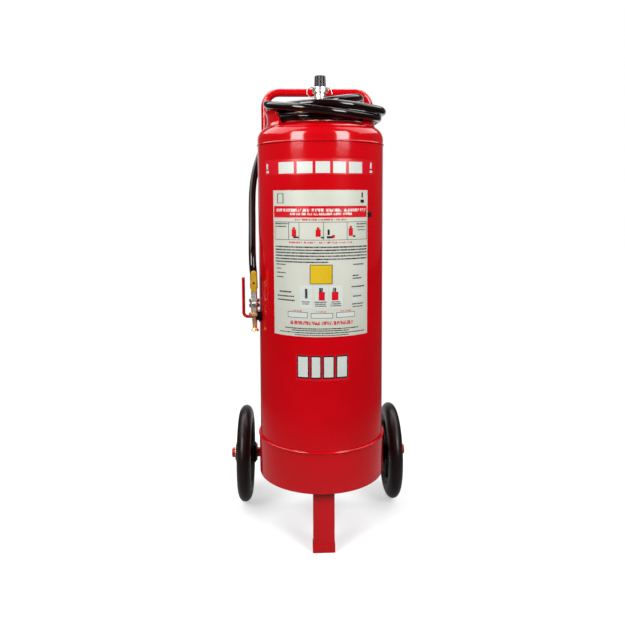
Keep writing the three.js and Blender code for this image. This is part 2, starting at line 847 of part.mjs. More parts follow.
// A crimped sleeve with two grooves.
function grooved(length) {
  const profile = [[hoseBore, 0], [ferruleRadius - 1, 0], [ferruleRadius, 1.5]];
  for (let i = 1; i <= 2; i++) {
    const z = (length * i) / 3;
    profile.push([ferruleRadius, z - 2], [ferruleRadius - 0.9, z], [ferruleRadius, z + 2]);
  }
  profile.push([ferruleRadius, length - 1], [ferruleRadius - 0.6, length], [hoseBore, length], [hoseBore, 0]);
  return turned(profile, 16);
}

// ---------------------------------------------------------------- hose

// The lay of the hose on the shoulder. Each row is one turn, clockwise as seen from above, and gives how
// far the hose's middle is from the tank's axis and how high, at every eighth of the turn: at the back,
// back right, right, front right, front, front left, left and back left.
const hoseTurns = [
  [
    [107, 1054.5], [116, 1060], [93.5, 1062], [98, 1054],
    [109, 1038], [103, 1025], [94, 1022], [94.5, 1039.5],
  ],
  [
    [120, 1035.5], [141, 1029], [146.9, 1029.4], [146.2, 1025.5],
    [135, 1032.5], [122, 1030.5], [114.2, 1027.4], [110, 1025.4],
  ],
  [
    [101.5, 1014], [108, 1011], [113.4, 1009], [114.6, 1008.3],
    [120.5, 1005.2], [114.5, 1008.5], [113.4, 1008.8], [115, 1007.8],
  ],
  [
    [126.5, 1003.4], [138.4, 1006.5], [137.2, 1014.7], [138.6, 1008.9],
    [148.5, 1014.5], [142.5, 1031.5], [126, 1047.5],
  ],
];
const turnSteps = 24;
const firstStep = 1; // steps after the back where the turns begin, and before the left where they end
const lastStep = 2;

// Where the hose climbs from its first ferrule to the turns.
const hoseRise = new THREE.Vector3(-20, 95, 1049.5);

// The free end of the hose, from the left tip of the last turn, down behind the tank to the valve.
const hoseTip = new THREE.Vector3(-126, 0, 1047.5);
const hoseTipHeading = new THREE.Vector3(0.03, 1, 0.09).normalize();
const hoseDrop = [
  [-124.3, 47, 1048.5], [-122.6, 76, 1037.5], [-124, 97, 1018], [-129.5, 112, 992], [-140, 117, 962],
  [-152, 112, 930], [-161.5, 98, 895], [-167, 78, 855], [-168, 54, 812], [-166.5, 22, 765],
  [-165, -13, 722], [-163.8, -32, 692], [-162.6, -40.3, 668],
];

const leanAxis = new THREE.Vector3(-Math.sin(lean), 0, Math.cos(lean));
const tailStart = valveCentre + valveHalf + gap;
const hoseStraight = 2 * hoseRadius;

function hoseStart() {
  const reach = elbowReach + gap + hoseNutLength + gap + headFerruleLength + gap;
  const start = new THREE.Vector3(reach, 0, elbowHeight);
  return start.applyAxisAngle(new THREE.Vector3(0, 0, 1), outletHeading).add(outletPlace);
}

// A value part of the way between two stations, on a smooth spline through all of them.
function between(values, at) {
  const last = values.length - 1;
  const value = (i) => {
    if (i < 0) return (1 - i) * values[0] + i * values[1];
    if (i > last) return (i - last + 1) * values[last] - (i - last) * values[last - 1];
    return values[i];
  };
  const control = (i) => value(i) - (value(i - 1) - 2 * value(i) + value(i + 1)) / 6;
  const k = Math.min(Math.floor(at), last - 1);
  const f = at - k;
  const weights = [(1 - f) ** 3, 3 * f ** 3 - 6 * f ** 2 + 4, -3 * f ** 3 + 3 * f ** 2 + 3 * f + 1, f ** 3];
  return weights.reduce((sum, w, i) => sum + (w * control(k - 1 + i)) / 6, 0);
}

function turnPoints() {
  const stations = hoseTurns.flat();
  const radii = stations.map((s) => s[0]);
  const heights = stations.map((s) => s[1]);
  const points = [];
  const whole = ((stations.length - 1) * turnSteps) / 8;
  for (let i = firstStep; i <= whole - lastStep; i++) {
    const at = (8 * i) / turnSteps;
    points.push(around(180 - (360 * i) / turnSteps, between(radii, at), between(heights, at)));
  }
  return points;
}

function hose() {
  const start = hoseStart();
  const heading = new THREE.Vector3(Math.cos(outletHeading), Math.sin(outletHeading), 0);
  const end = nozzleTip.clone().addScaledVector(leanAxis, tailStart + tailFerruleLength + gap);
  const coil = [
    start,
    start.clone().addScaledVector(heading, hoseStraight),
    hoseRise,
    ...turnPoints(),
    hoseTip.clone().addScaledVector(hoseTipHeading, -hoseStraight),
    hoseTip,
  ];
  const drop = [
    hoseTip.clone().addScaledVector(hoseTipHeading, gap),
    hoseTip.clone().addScaledVector(hoseTipHeading, hoseStraight),
    ...hoseDrop.map(([x, y, z]) => new THREE.Vector3(x, y, z)),
    end.clone().addScaledVector(leanAxis, hoseStraight),
    end,
  ];
  const dropCurve = new THREE.CatmullRomCurve3(drop, false, "centripetal");
  piece("hose_coil", tubeAlong(coil, hoseRadius, 6), blackRubber);
  piece("hose_drop", bar(dropCurve, hoseRadius, dropSteps, 10), blackRubber);
  const coilCurve = new THREE.CatmullRomCurve3(coil, false, "centripetal");
  const length = coilCurve.getLength() + dropCurve.getLength();
  console.log("hose length", length.toFixed(0), "mm");
  console.log("least gap between the hose's turns", leastGap(coil).toFixed(2), "mm");
}

// The smallest distance between the surfaces of two parts of a hose that aren't neighbours.
function leastGap(points) {
  let least = Infinity;
  const along = [0];
  points.forEach((p, i) => i && along.push(along[i - 1] + p.distanceTo(points[i - 1])));
  const line = new THREE.Line3();
  const near = new THREE.Vector3();
  points.forEach((p, i) => {
    for (let k = 0; k < points.length - 1; k++) {
      const away = Math.min(Math.abs(along[k] - along[i]), Math.abs(along[k + 1] - along[i]));
      if (away < 6 * hoseRadius) continue;
      line.set(points[k], points[k + 1]).closestPointToPoint(p, true, near);
      least = Math.min(least, near.distanceTo(p) - 2 * hoseRadius);
    }
  });
  return least;
}

// ---------------------------------------------------------------- valve and nozzle

const nozzle = new THREE.Group();
nozzle.position.copy(nozzleTip);
nozzle.rotation.y = -lean;
object.add(nozzle);

function jetNozzle() {
  const flangeTop = flangeBottom + flangeHeight;
  const outer = [
    [jetBore + 3, 0],
    [flareRadius, 0],
    [flareRadius, 1.5],
    [flareRadius - 2, 3.5],
    [coneBottomRadius, flareHeight],
    [coneTopRadius, flangeBottom - 2],
    [coneTopRadius, flangeTop + 6],
    [valvePort, flangeTop + 6],
    [jetBore, flareHeight],
    [jetBore + 3, 0],
  ];
  const hex = cut(
    hexPrism(flangeFlats, flangeBottom, flangeTop),
    disc(coneTopRadius - 1, 0, flangeTop + 5, 20),
  );
  piece("jet_nozzle", joined(turned(outer, 20), hex), brass, nozzle);
}

function valveBody() {
  const low = valveCentre - valveHalf;
  const high = valveCentre + valveHalf;
  const cavity = ballRadius + 0.9;
  const cavityTop = valveCentre + seatEnd + gap;
  const groove = ring(valveWaist, valveHexFlats, waistBottom, waistTop, 24);
  const bonnet = disc(bonnetRadius, 0, bonnetReach, 16).rotateX(Math.PI / 2);
  const barrel = joined(
    cut(hexPrism(valveHexFlats, low, high), groove),
    bonnet.translate(0, 0, valveCentre),
  );
  const stemHole = disc(stemRadius + fit, 0, bonnetReach + 2, 12).rotateX(Math.PI / 2);
  const body = cut(
    barrel,
    disc(cavity, low - 1, cavityTop, 24),
    disc(valvePort, cavityTop - 1, high + 1, 16),
    stemHole.translate(0, 0, valveCentre),
  );
  piece("valve_body", body, nickel, nozzle);

  const seatInner = valvePort + 0.6;
  const seatOuter = cavity - gap;
  const upper = ring(seatInner, seatOuter, valveCentre + seatStart, valveCentre + seatEnd, 16);
  piece("valve_seat_upper", upper, whitePlastic, nozzle);
  const lower = ring(seatInner, seatOuter, valveCentre - seatEnd, valveCentre - seatStart, 16);
  piece("valve_seat_lower", lower, whitePlastic, nozzle);

  const screwTop = valveCentre - seatEnd - gap;
  const bodyEnd = low - gap;
  const bottom = flangeBottom + flangeHeight + gap;
  const end = [
    [coneTopRadius + gap, bottom],
    [nippleRadius, bottom],
    [nippleRadius, bodyEnd],
    [seatOuter, bodyEnd],
    [seatOuter, screwTop],
    [valvePort, screwTop],
    [valvePort, bottom + 6 + gap],
    [coneTopRadius + gap, bottom + 6 + gap],
    [coneTopRadius + gap, bottom],
  ];
  piece("valve_end", turned(end, 24), nickel, nozzle);

  const gland = cut(
    hexPrism(glandFlats, bonnetReach + gap, bonnetReach + gap + glandHeight),
    disc(stemRadius + fit, bonnetReach - 1, bonnetReach + glandHeight + 2, 12),
  );
  piece("gland_nut", gland.rotateX(Math.PI / 2).translate(0, 0, valveCentre), brass, nozzle);

  const tail = [
    [hoseBore, 0],
    [tailNarrow, 0],
    [tailNarrow, tailStep - 1],
    [tailWide, tailStep + 1],
    [tailWide, tailFerruleLength - 1],
    [tailWide - 0.6, tailFerruleLength],
    [hoseBore, tailFerruleLength],
    [hoseBore, 0],
  ];
  piece("tail_ferrule", turned(tail, 20).translate(0, 0, tailStart), nickel, nozzle);
}

// Leans a piece of the lever about the stem, towards the tank.
function tilted(geometry) {
  geometry.translate(0, 0, -valveCentre).rotateY(THREE.MathUtils.degToRad(leverLean));
  return geometry.translate(0, 0, valveCentre);
}

function valveLever() {
  const ball = cut(
    new THREE.SphereGeometry(ballRadius, 16, 10).rotateX(Math.PI / 2),
    disc(valvePort, -10, 10, 16),
    box(-1.5, 1.5, -10, -ballRadius + 2, -3.2, 3.2),
  );
  piece("valve_ball", ball.translate(0, 0, valveCentre), brightSteel, nozzle);

  const leverBack = bonnetReach + glandHeight + 3 * gap;
  const leverFront = leverBack + leverThickness;
  const stemEnd = leverFront + leverNutHeight + 2;
  const stem = joined(
    disc(stemRadius, ballRadius + gap, stemEnd, 12).rotateX(Math.PI / 2),
    box(-1.1, 1.1, -ballRadius - 2 * gap, -ballRadius + 1.6, -2, 2),
  );
  piece("valve_stem", stem.translate(0, 0, valveCentre), brightSteel, nozzle);

  const outline = new THREE.Shape();
  const half = leverWidth / 2;
  outline.moveTo(-half, 0);
  outline.absarc(0, 0, half, Math.PI, 2 * Math.PI, false);
  outline.lineTo(half - 2, 14);
  outline.lineTo(half - 2, leverReach - 6);
  outline.lineTo(-half + 2, leverReach - 6);
  outline.lineTo(-half + 2, 14);
  outline.closePath();
  const blade = new THREE.ExtrudeGeometry(outline, {
    depth: leverThickness,
    bevelEnabled: false,
    curveSegments: 6,
  });
  blade.rotateX(Math.PI / 2).translate(0, -leverBack, valveCentre);
  const shaftHole = disc(stemRadius + fit, leverBack - 1, leverFront + 1, 12).rotateX(Math.PI / 2);
  const lever = cut(blade, shaftHole.translate(0, 0, valveCentre));
  piece("valve_lever", tilted(lever), brightSteel, nozzle);

  const round = gripWidth / 2;
  const sleeve = new THREE.Shape();
  sleeve.moveTo(-round + 1, gripBottom);
  sleeve.lineTo(round - 1, gripBottom);
  sleeve.lineTo(round, gripBottom + 10);
  sleeve.lineTo(round, leverReach - round);
  sleeve.absarc(0, leverReach - round, round, 0, Math.PI, false);
  sleeve.lineTo(-round, gripBottom + 10);
  sleeve.closePath();
  const cover = new THREE.ExtrudeGeometry(sleeve, {
    depth: gripThickness,
    bevelEnabled: false,
    curveSegments: 6,
  });
  const middle = leverBack + leverThickness / 2;
  cover.rotateX(Math.PI / 2).translate(0, -middle + gripThickness / 2, valveCentre);
  const slot = box(
    -half + 2 - fit,
    half - 2 + fit,
    -leverFront - fit,
    -leverBack + fit,
    valveCentre + gripBottom - 1,
    valveCentre + leverReach - 6 + fit,
  );
  const eye = disc(gripHole, middle - gripThickness, -leverFront + 2 * middle, 12).rotateX(Math.PI / 2);
  const dimple = eye.translate(0, -leverThickness, valveCentre + gripBottom + gripHoleHeight);
  piece("lever_grip", tilted(cut(cover, slot, dimple)), yellowGrip, nozzle);

  const nut = cut(
    hexPrism(leverNutFlats, leverFront + gap, leverFront + gap + leverNutHeight),
    disc(stemRadius + fit, leverFront - 1, stemEnd + 1, 12),
  );
  piece("lever_nut", nut.rotateX(Math.PI / 2).translate(0, 0, valveCentre), brightSteel, nozzle);
}

// ---------------------------------------------------------------- nozzle hook

// Height and place of a point on the nozzle's axis, from its mouth.
function onNozzle(height) {
  return nozzleTip.clone().addScaledVector(leanAxis, height);
}

function nozzleHook() {
  const seat = onNozzle(flangeBottom - gap);
  const rodY = seat.y + coneTopRadius + 2 * gap + hookRadius;
  const rodZ = seat.z - hookRadius - 0.6;
  const padOut = tankRadius + gap + padThickness;
  const edgeY = Math.abs(rodY) - hookRadius;
  const inner = -Math.sqrt((padOut + gap) ** 2 - edgeY ** 2) - gap;
  const corners = [
    new THREE.Vector3(inner, rodY, rodZ),
    new THREE.Vector3(-hookOut, rodY, rodZ),
    new THREE.Vector3(-hookOut, rodY, hookTop),
  ];
  piece("nozzle_hook", bentBar(corners, hookBend, hookRadius, 12, 6), redPaint);

  const padFront = rodY - hookRadius;
  const pad = shared(
    ring(tankRadius + gap, padOut, rodZ - padHalf, rodZ + padHalf, tankSides),
    box(-padOut - 5, -100, padFront, padFront + padLength, rodZ - padHalf, rodZ + padHalf),
  );
  piece("hook_pad", pad, redPaint);

  // A block with a notch that holds the corner of the nozzle's flange.
  const restBack = padFront - gap;
  const block = box(-restFace, -110, nozzleTip.y - restFront, restBack, restBottom, restTop);
  const round = disc(tankRadius + gap, restBottom - 5, restTop + 5, tankSides);
  const middle = onNozzle(flangeBottom + flangeHeight / 2);
  const shaft = disc(nippleRadius + gap, restBottom - 5, restTop + 5, 24);
  const notch = disc(flangeFlats / Math.sqrt(3) + gap, -flangeHeight / 2 - gap, flangeHeight / 2 + gap, 24);
  shaft.translate(middle.x, middle.y, 0);
  notch.translate(middle.x, middle.y, middle.z);
  piece("nozzle_rest", cut(block, round, shaft, notch), blackPlastic);
}

// ---------------------------------------------------------------- frame, axle and leg

function handleFrame() {
  const foot = axleHeight + axleRadius + gap;
  const corners = [
    new THREE.Vector3(-frameHalfWidth, frameY, foot),
    new THREE.Vector3(-frameHalfWidth, frameY, frameTop),
    new THREE.Vector3(frameHalfWidth, frameY, frameTop),
    new THREE.Vector3(frameHalfWidth, frameY, foot),
  ];
  piece("handle_frame", bentBar(corners, frameBend, frameTube, 12, 7), redPaint);
  const strapBack = tankRadius + gap;
  const upper = box(
    -strapHalf,
    strapHalf,
    strapBack,
    strapBack + strapThickness,
    upperStrapHeight,
    upperStrapHeight + strapHeight,
  );
  piece("frame_strap_upper", upper, redPaint);
  const lower = box(
    -strapHalf,
    strapHalf,
    strapBack,
    strapBack + strapThickness,
    lowerStrapHeight,
    lowerStrapHeight + strapHeight,
  );
  piece("frame_strap_lower", lower, redPaint);
}

function axleBracket(name, place) {
  const outside = tankRadius + gap + skirtWall + gap;
  const far = Math.abs(place) + bracketThickness / 2;
  const skirtY = Math.sqrt(outside ** 2 - (Math.abs(place) - bracketThickness / 2) ** 2) + gap;
  const outline = new THREE.Shape();
  outline.moveTo(skirtY, skirtBottom + 6);
  outline.lineTo(skirtY, bracketTop);
  outline.lineTo(skirtY + 8, bracketTop);
  outline.lineTo(frameY + axleRadius + bracketFoot, axleHeight + 22);
  outline.absarc(frameY, axleHeight, axleRadius + bracketFoot, 0, -Math.PI, true);
  outline.closePath();
  const plate = new THREE.ExtrudeGeometry(outline, {
    depth: bracketThickness,
    bevelEnabled: false,
    curveSegments: 8,
  });
  plate.rotateX(Math.PI / 2).rotateZ(Math.PI / 2).translate(place - bracketThickness / 2, 0, 0);
  const hole = disc(axleRadius + fit, -far - 10, far + 10, 24).rotateY(Math.PI / 2);
  piece(name, cut(plate, hole.translate(0, frameY, axleHeight)), redPaint);
}

function axle() {
  const end = hubOuter + gap + outerWasherThickness + gap + spindleThread;
  const profile = [
    [0, -end],
    [spindleRadius, -end],
    [spindleRadius, -axleShoulder],
    [axleRadius, -axleShoulder],
    [axleRadius, axleShoulder],
    [spindleRadius, axleShoulder],
    [spindleRadius, end],
    [0, end],
  ];
  const bar = turned(profile, 16).rotateY(Math.PI / 2).translate(0, frameY, axleHeight);
  piece("axle", bar, redPaint);
}

function wheel(side, sign) {
  const group = new THREE.Group();
  group.position.set(sign * wheelMiddle, frameY, axleHeight);
  group.rotation.y = (sign * Math.PI) / 2; // its own +Z then points outwards
  object.add(group);
  const bore = spindleRadius + fit;

  const crown = arc(0, 0, 1, -90, 90, 7).map(([x, y]) => [
    wheelRadius - 26 + 26 * x,
    tyreHalfWidth * y,
  ]);
  const tyre = [[tyreInner, -tyreHalfWidth + 3], ...crown, [tyreInner, tyreHalfWidth - 3]];
  piece(`${side}_tyre`, turned([...tyre, tyre[0]], tankSides), tyreRubber, group);

  const rim = tyreInner * Math.cos(Math.PI / tankSides) - gap;
  const hub = [
    [bushRadius + fit, -bossHalfWidth],
    [hubBoss - 2, -bossHalfWidth],
    [hubBoss + 1, -hubHalfWeb],
    [rim - hubRimDepth, -hubHalfWeb],
    [rim - hubRimDepth + 3, -hubHalfRim],
    [rim, -hubHalfRim],
    [rim, hubHalfRim],
    [rim - hubRimDepth + 3, hubHalfRim],
    [rim - hubRimDepth, hubHalfWeb],
    [hubBoss + 1, hubHalfWeb],
    [hubBoss - 2, bossHalfWidth],
    [bushRadius + fit, bossHalfWidth],
    [bushRadius + fit, -bossHalfWidth],
  ];
  piece(`${side}_hub`, turned(hub, 24), blackPlastic, group);
  piece(`${side}_bush`, ring(bore, bushRadius, -bossHalfWidth, bossHalfWidth, 16), nickel, group);

  const inner = -bossHalfWidth - gap;
  const innerWasher = ring(bore, innerWasherRadius, inner - innerWasherThickness, inner, 20);
  piece(`${side}_inner_washer`, innerWasher, zincSteel, group);
  const outer = bossHalfWidth + gap;
  const outerWasher = ring(bore, outerWasherRadius, outer, outer + outerWasherThickness, 20);
  piece(`${side}_outer_washer`, outerWasher, zincSteel, group);

  const capStart = outer + outerWasherThickness + gap;
  const cap = [
    [bore, capStart],
    [axleCapRadius, capStart],
    [axleCapRadius, capStart + axleCapLength - 3],
    [axleCapRadius - 2.5, capStart + axleCapLength],
    [0, capStart + axleCapLength],
    [0, capStart + spindleThread + gap],
    [bore, capStart + spindleThread + gap],
    [bore, capStart],
  ];
  piece(`${side}_axle_cap`, turned(cap, 16), redPaint, group);
}

function frontLeg() {
  const half = legWidth / 2;
  const back = legFront + legDepth;
  const floor = shoeFloor + gap;
  const roof = tangentBottom;
  const outside = box(-half, half, legFront, back, floor, roof);
  const inside = box(
    -half + legWall,
    half - legWall,
    legFront + legWall,
    back - legWall,
    floor - 5,
    roof + 5,
  );
  const dome = dishedEnd(
    tankRadius + gap,
    crownRadius + gap,
    knuckleRadius + gap,
    tangentBottom,
    3,
    true,
  ).reverse();
  const above = turned([...dome, [tankRadius + gap, roof + 20], [0, roof + 20]], tankSides);
  piece("front_leg", cut(outside, inside, above), redPaint);

  const room = shoeWall + gap;
  const cup = box(-half - room, half + room, legFront - room, back + room, 0, shoeHeight);
  const well = box(-half - gap, half + gap, legFront - gap, back + gap, shoeFloor, shoeHeight + 5);
  piece("leg_shoe", cut(cup, well), redPaint);
}

// ---------------------------------------------------------------- assembly

tankShell();
topDome();
bottomDome();
skirt();
hoseGuards();
frontLabel();
neck();
valveHead();
capNut();
strikeKnob();
strikeRod();
strikeSpring();
safetyClip();
gasCartridge();
nozzleHook();
handleFrame();
axleBracket("axle_bracket_left", -bracketPlace);
axleBracket("axle_bracket_right", bracketPlace);
axle();
wheel("left", -1);
wheel("right", 1);
frontLeg();

// The origin stands under the middle of everything but the hose and what it carries.
const bounds = new THREE.Box3().setFromObject(model);

dischargeOutlet();
hose();
jetNozzle();
valveBody();
valveLever();
object.position.y = -(bounds.min.y + bounds.max.y) / 2;

export default model;
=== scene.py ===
"""A wheeled fire extinguisher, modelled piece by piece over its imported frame.

Sizes are in millimetres, with heights from the ground and places from the tank's own axis: X is to the
right as one looks at the front, and Y to the back. Meshes are in metres, in the frame's axes.
"""

from __future__ import annotations

import json
import logging
import math
from dataclasses import dataclass
from enum import Enum

import bpy
from mathutils import Matrix, Vector

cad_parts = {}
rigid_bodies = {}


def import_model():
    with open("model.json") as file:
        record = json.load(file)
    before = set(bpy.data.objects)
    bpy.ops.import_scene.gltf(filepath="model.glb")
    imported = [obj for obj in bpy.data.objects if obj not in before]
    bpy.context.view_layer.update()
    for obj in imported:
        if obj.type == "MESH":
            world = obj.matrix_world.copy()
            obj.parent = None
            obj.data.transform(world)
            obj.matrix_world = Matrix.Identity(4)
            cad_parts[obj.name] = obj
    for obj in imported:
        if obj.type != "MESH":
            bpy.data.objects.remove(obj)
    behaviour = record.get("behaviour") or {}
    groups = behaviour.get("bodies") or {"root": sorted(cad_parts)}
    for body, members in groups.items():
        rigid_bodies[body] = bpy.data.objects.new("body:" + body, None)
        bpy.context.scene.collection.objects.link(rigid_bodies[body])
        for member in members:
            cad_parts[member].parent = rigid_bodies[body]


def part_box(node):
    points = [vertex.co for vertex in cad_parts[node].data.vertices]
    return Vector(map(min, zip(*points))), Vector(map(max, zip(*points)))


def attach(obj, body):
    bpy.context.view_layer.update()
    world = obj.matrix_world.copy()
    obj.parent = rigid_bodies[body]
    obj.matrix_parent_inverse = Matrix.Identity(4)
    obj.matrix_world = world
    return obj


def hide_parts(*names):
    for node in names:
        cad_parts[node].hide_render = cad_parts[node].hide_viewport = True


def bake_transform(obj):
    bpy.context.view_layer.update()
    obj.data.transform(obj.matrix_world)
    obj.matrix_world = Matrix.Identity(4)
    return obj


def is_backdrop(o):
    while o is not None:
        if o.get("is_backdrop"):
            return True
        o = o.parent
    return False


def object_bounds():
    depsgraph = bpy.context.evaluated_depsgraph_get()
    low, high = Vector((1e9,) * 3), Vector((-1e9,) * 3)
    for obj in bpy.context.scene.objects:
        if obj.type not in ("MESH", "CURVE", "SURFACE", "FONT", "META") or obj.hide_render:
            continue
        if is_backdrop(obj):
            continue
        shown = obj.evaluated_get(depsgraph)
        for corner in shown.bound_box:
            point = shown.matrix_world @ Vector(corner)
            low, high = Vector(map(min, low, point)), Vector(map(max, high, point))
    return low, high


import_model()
CAD_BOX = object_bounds()

LOG = logging.getLogger("extinguisher")

Object = bpy.types.Object
Node = bpy.types.Node
Socket = bpy.types.NodeSocket
Pair = tuple[float, float]
Spot = tuple[float, float, float]
Colour = tuple[float, float, float]
Mark = tuple[float, float, float, float]

MM = 0.001
GAP = 0.3  # left between solids that touch
MERGE = 1e-6
TAU = 2 * math.pi
ORIGIN = Matrix.Identity(4)


def tank_frame() -> Matrix:
    """The tank's axis on the ground, in the frame's metres."""
    low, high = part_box("tank_shell")
    return Matrix.Translation((0, (low[1] + high[1]) / 2, 0))


TANK = tank_frame()


class Body(str, Enum):
    """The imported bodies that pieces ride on."""

    TANK = "extinguisher"
    LEFT_WHEEL = "left_wheel"
    RIGHT_WHEEL = "right_wheel"
    LEVER = "valve_lever"
    HEAD = "head"
    CAP_NUT = "cap_nut"
    PLUNGER = "plunger"
    CLIP = "safety_clip"


class Grain(Enum):
    """Which way the fine lines of a metal run, as a stretch of the space."""

    UP = (0.04, 0.04, 1.0)
    ACROSS = (1.0, 0.04, 0.04)


# ---------------------------------------------------------------- mesh steps


def pick(action: str = "SELECT") -> None:
    """Select or deselect all of the mesh that is being edited."""
    bpy.ops.mesh.select_all(action=action)


def edit() -> None:
    """Edit the active object with all of it selected."""
    bpy.ops.object.mode_set(mode="EDIT")
    pick()


def deselect() -> None:
    """Leave edit mode with nothing selected."""
    if bpy.context.mode != "OBJECT":
        bpy.ops.object.mode_set(mode="OBJECT")
    bpy.ops.object.select_all(action="DESELECT")


def select(piece: Object) -> None:
    """Select one object alone and make it active."""
    deselect()
    piece.select_set(True)
    bpy.context.view_layer.objects.active = piece


def named(name: str) -> Object:
    """Give the active object and its data a name."""
    piece = bpy.context.active_object
    piece.name = piece.data.name = name
    return piece


def bake() -> None:
    """Apply the selected object's place, turn and scale."""
    bpy.ops.object.transform_apply(location=True, rotation=True, scale=True)


def plane() -> None:
    """Add the plane that a chain is drawn from."""
    bpy.ops.mesh.primitive_plane_add(size=1, location=(0, 0, 0))


def begin(name: str) -> Object:
    """Start a mesh as a plane, in edit mode."""
    deselect()
    plane()
    piece = named(name)
    edit()
    return piece


def push(step: Vector | Spot) -> None:
    """Extrude what is selected by a step in millimetres."""
    bpy.ops.mesh.extrude_region_move(TRANSFORM_OT_translate={"value": [c * MM for c in step]})


def draw(points: list[Spot]) -> None:
    """Merge the selected plane to one vertex at the first place, and extrude it along the others."""
    bpy.ops.mesh.merge(type="CENTER")
    bpy.ops.transform.translate(value=[c * MM for c in points[0]])
    for before, after in zip(points, points[1:]):
        push(tuple(b - a for a, b in zip(before, after)))


def close_up() -> None:
    """Join what coincides, fill what is open and turn the faces outwards."""
    pick()
    bpy.ops.mesh.remove_doubles(threshold=MERGE)
    pick("DESELECT")
    bpy.ops.mesh.select_non_manifold(extend=False, use_wire=False, use_multi_face=False, use_verts=False)
    bpy.ops.mesh.fill_holes(sides=0)
    pick()
    bpy.ops.mesh.normals_make_consistent(inside=False)


def settle(piece: Object, place: Matrix) -> Object:
    """Put a mesh that was made at the origin in its place for good."""
    select(piece)
    piece.matrix_world = place @ piece.matrix_world
    bake()
    return piece


def closed(piece: Object, place: Matrix = TANK) -> Object:
    """Close the mesh that is being edited and put it in its place."""
    close_up()
    return settle(piece, place)


def turned(name: str, profile: list[Pair], place: Matrix = TANK, sides: int = 64) -> Object:
    """Spin a profile round an axis.

    Args:
        name: The piece's name.
        profile: Radius and height of each corner. It starts and ends on the axis, or closes on itself.
        place: Where the axis stands.
        sides: How many steps the spin takes.

    Returns:
        The turned piece.
    """
    piece = begin(name)
    draw([(r, 0.0, z) for r, z in profile])
    pick()
    bpy.ops.mesh.spin(steps=sides, angle=TAU, center=(0, 0, 0), axis=(0, 0, 1))
    return closed(piece, place)


def band(inner: float, outer: float, low: float, high: float) -> list[Pair]:
    """The closed profile of a plain ring."""
    return [(inner, low), (outer, low), (outer, high), (inner, high), (inner, low)]


def ring(name: str, radii: Pair, heights: Pair, place: Matrix = TANK, sides: int = 64) -> Object:
    """Turn a plain ring."""
    return turned(name, band(*radii, *heights), place, sides)


def disc(name: str, radius: float, low: float, high: float, place: Matrix = TANK, sides: int = 48) -> Object:
    """Turn a round bar or drill."""
    return turned(name, [(0, low), (radius, low), (radius, high), (0, high)], place, sides)


def filled(name: str, outline: list[Pair]) -> Object:
    """Start a mesh as one face inside an outline, in edit mode."""
    piece = begin(name)
    draw([(x, y, 0.0) for x, y in outline])
    pick()
    bpy.ops.mesh.edge_face_add()
    return piece


def plate(name: str, outline: list[Pair], depth: float, place: Matrix) -> Object:
    """Extrude an outline in the place's X and Y along its Z."""
    piece = filled(name, outline)
    push((0, 0, depth))
    return closed(piece, place)


def block(name: str, low: Spot, high: Spot, place: Matrix = TANK) -> Object:
    """A plain rectangular solid between two corners."""
    outline = [(low[0], low[1]), (high[0], low[1]), (high[0], high[1]), (low[0], high[1])]
    return plate(name, outline, high[2] - low[2], place @ moved(0, 0, low[2]))


def bent(
    name: str, corners: list[Spot], bend: float, radius: float, place: Matrix = TANK, sides: int = 24
) -> Object:
    """Draw a round bar through corners, with its bends spun.

    Args:
        name: The piece's name.
        corners: Where the bar's runs would meet.
        bend: Radius of each bend at the bar's middle.
        radius: The bar's own radius.
        place: The frame that the corners are in.
        sides: How many sides the bar has.

    Returns:
        The bar, closed at both ends.
    """
    stops = [Vector(c) for c in corners]
    here = stops[0]
    facing = Vector((0, 0, 1)).rotation_difference((stops[1] - here).normalized()).to_euler()
    deselect()
    bpy.ops.mesh.primitive_circle_add(vertices=sides, radius=radius * MM, location=here * MM, rotation=facing)
    piece = named(name)
    bake()
    edit()
    for before, corner, after in zip(stops, stops[1:], stops[2:]):
        back, ahead = (before - corner).normalized(), (after - corner).normalized()
        half = back.angle(ahead) / 2
        reach = bend / math.tan(half)
        push(corner + back * reach - here)
        centre = corner + (back + ahead).normalized() * (bend / math.sin(half))
        turn = math.pi - 2 * half
        steps = max(3, round(turn / math.radians(9)))
        axis = (-back).cross(ahead).normalized()
        bpy.ops.mesh.spin(steps=steps, angle=-turn, center=centre * MM, axis=axis)
        here = corner + ahead * reach
    push(stops[-1] - here)
    return closed(piece, place)


def apply_modifier(piece: Object, kind: str, **settings: object) -> None:
    """Add a modifier to a piece, set it and apply it."""
    select(piece)
    bpy.ops.object.modifier_add(type=kind)
    modifier = piece.modifiers[-1]
    for key, value in settings.items():
        setattr(modifier, key, value)
    bpy.ops.object.modifier_apply(modifier=modifier.name)


def combine(piece: Object, operation: str, *tools: Object) -> Object:
    """Cut, join or intersect a piece with others, which are used up."""
    for tool in tools:
        apply_modifier(piece, "BOOLEAN", operation=operation, solver="EXACT", object=tool)
        bpy.data.objects.remove(tool, do_unlink=True)
    return piece


def cut(piece: Object, *tools: Object) -> Object:
    """Take tools away from a piece."""
    return combine(piece, "DIFFERENCE", *tools)


def joined(piece: Object, *others: Object) -> Object:
    """Weld others on to a piece."""
    return combine(piece, "UNION", *others)


def rounded(piece: Object, width: float, segments: int = 2, angle: float = 35) -> Object:
    """Bevel the edges of a piece that are sharper than an angle."""
    apply_modifier(piece, "BEVEL", width=width * MM, segments=segments, limit_method="ANGLE",
                   angle_limit=math.radians(angle), harden_normals=False)
    return piece


def copied(piece: Object, name: str) -> Object:
    """Copy a piece with a mesh of its own."""
    select(piece)
    bpy.ops.object.duplicate(linked=False)
    return named(name)


def arc(cx: float, cy: float, radius: float, start: float, end: float, steps: int) -> list[Pair]:
    """Points of an arc round a centre, from one angle in degrees to another, both included."""
    turns = [math.radians(start + (end - start) * i / steps) for i in range(steps + 1)]
    return [(cx + radius * math.cos(t), cy + radius * math.sin(t)) for t in turns]


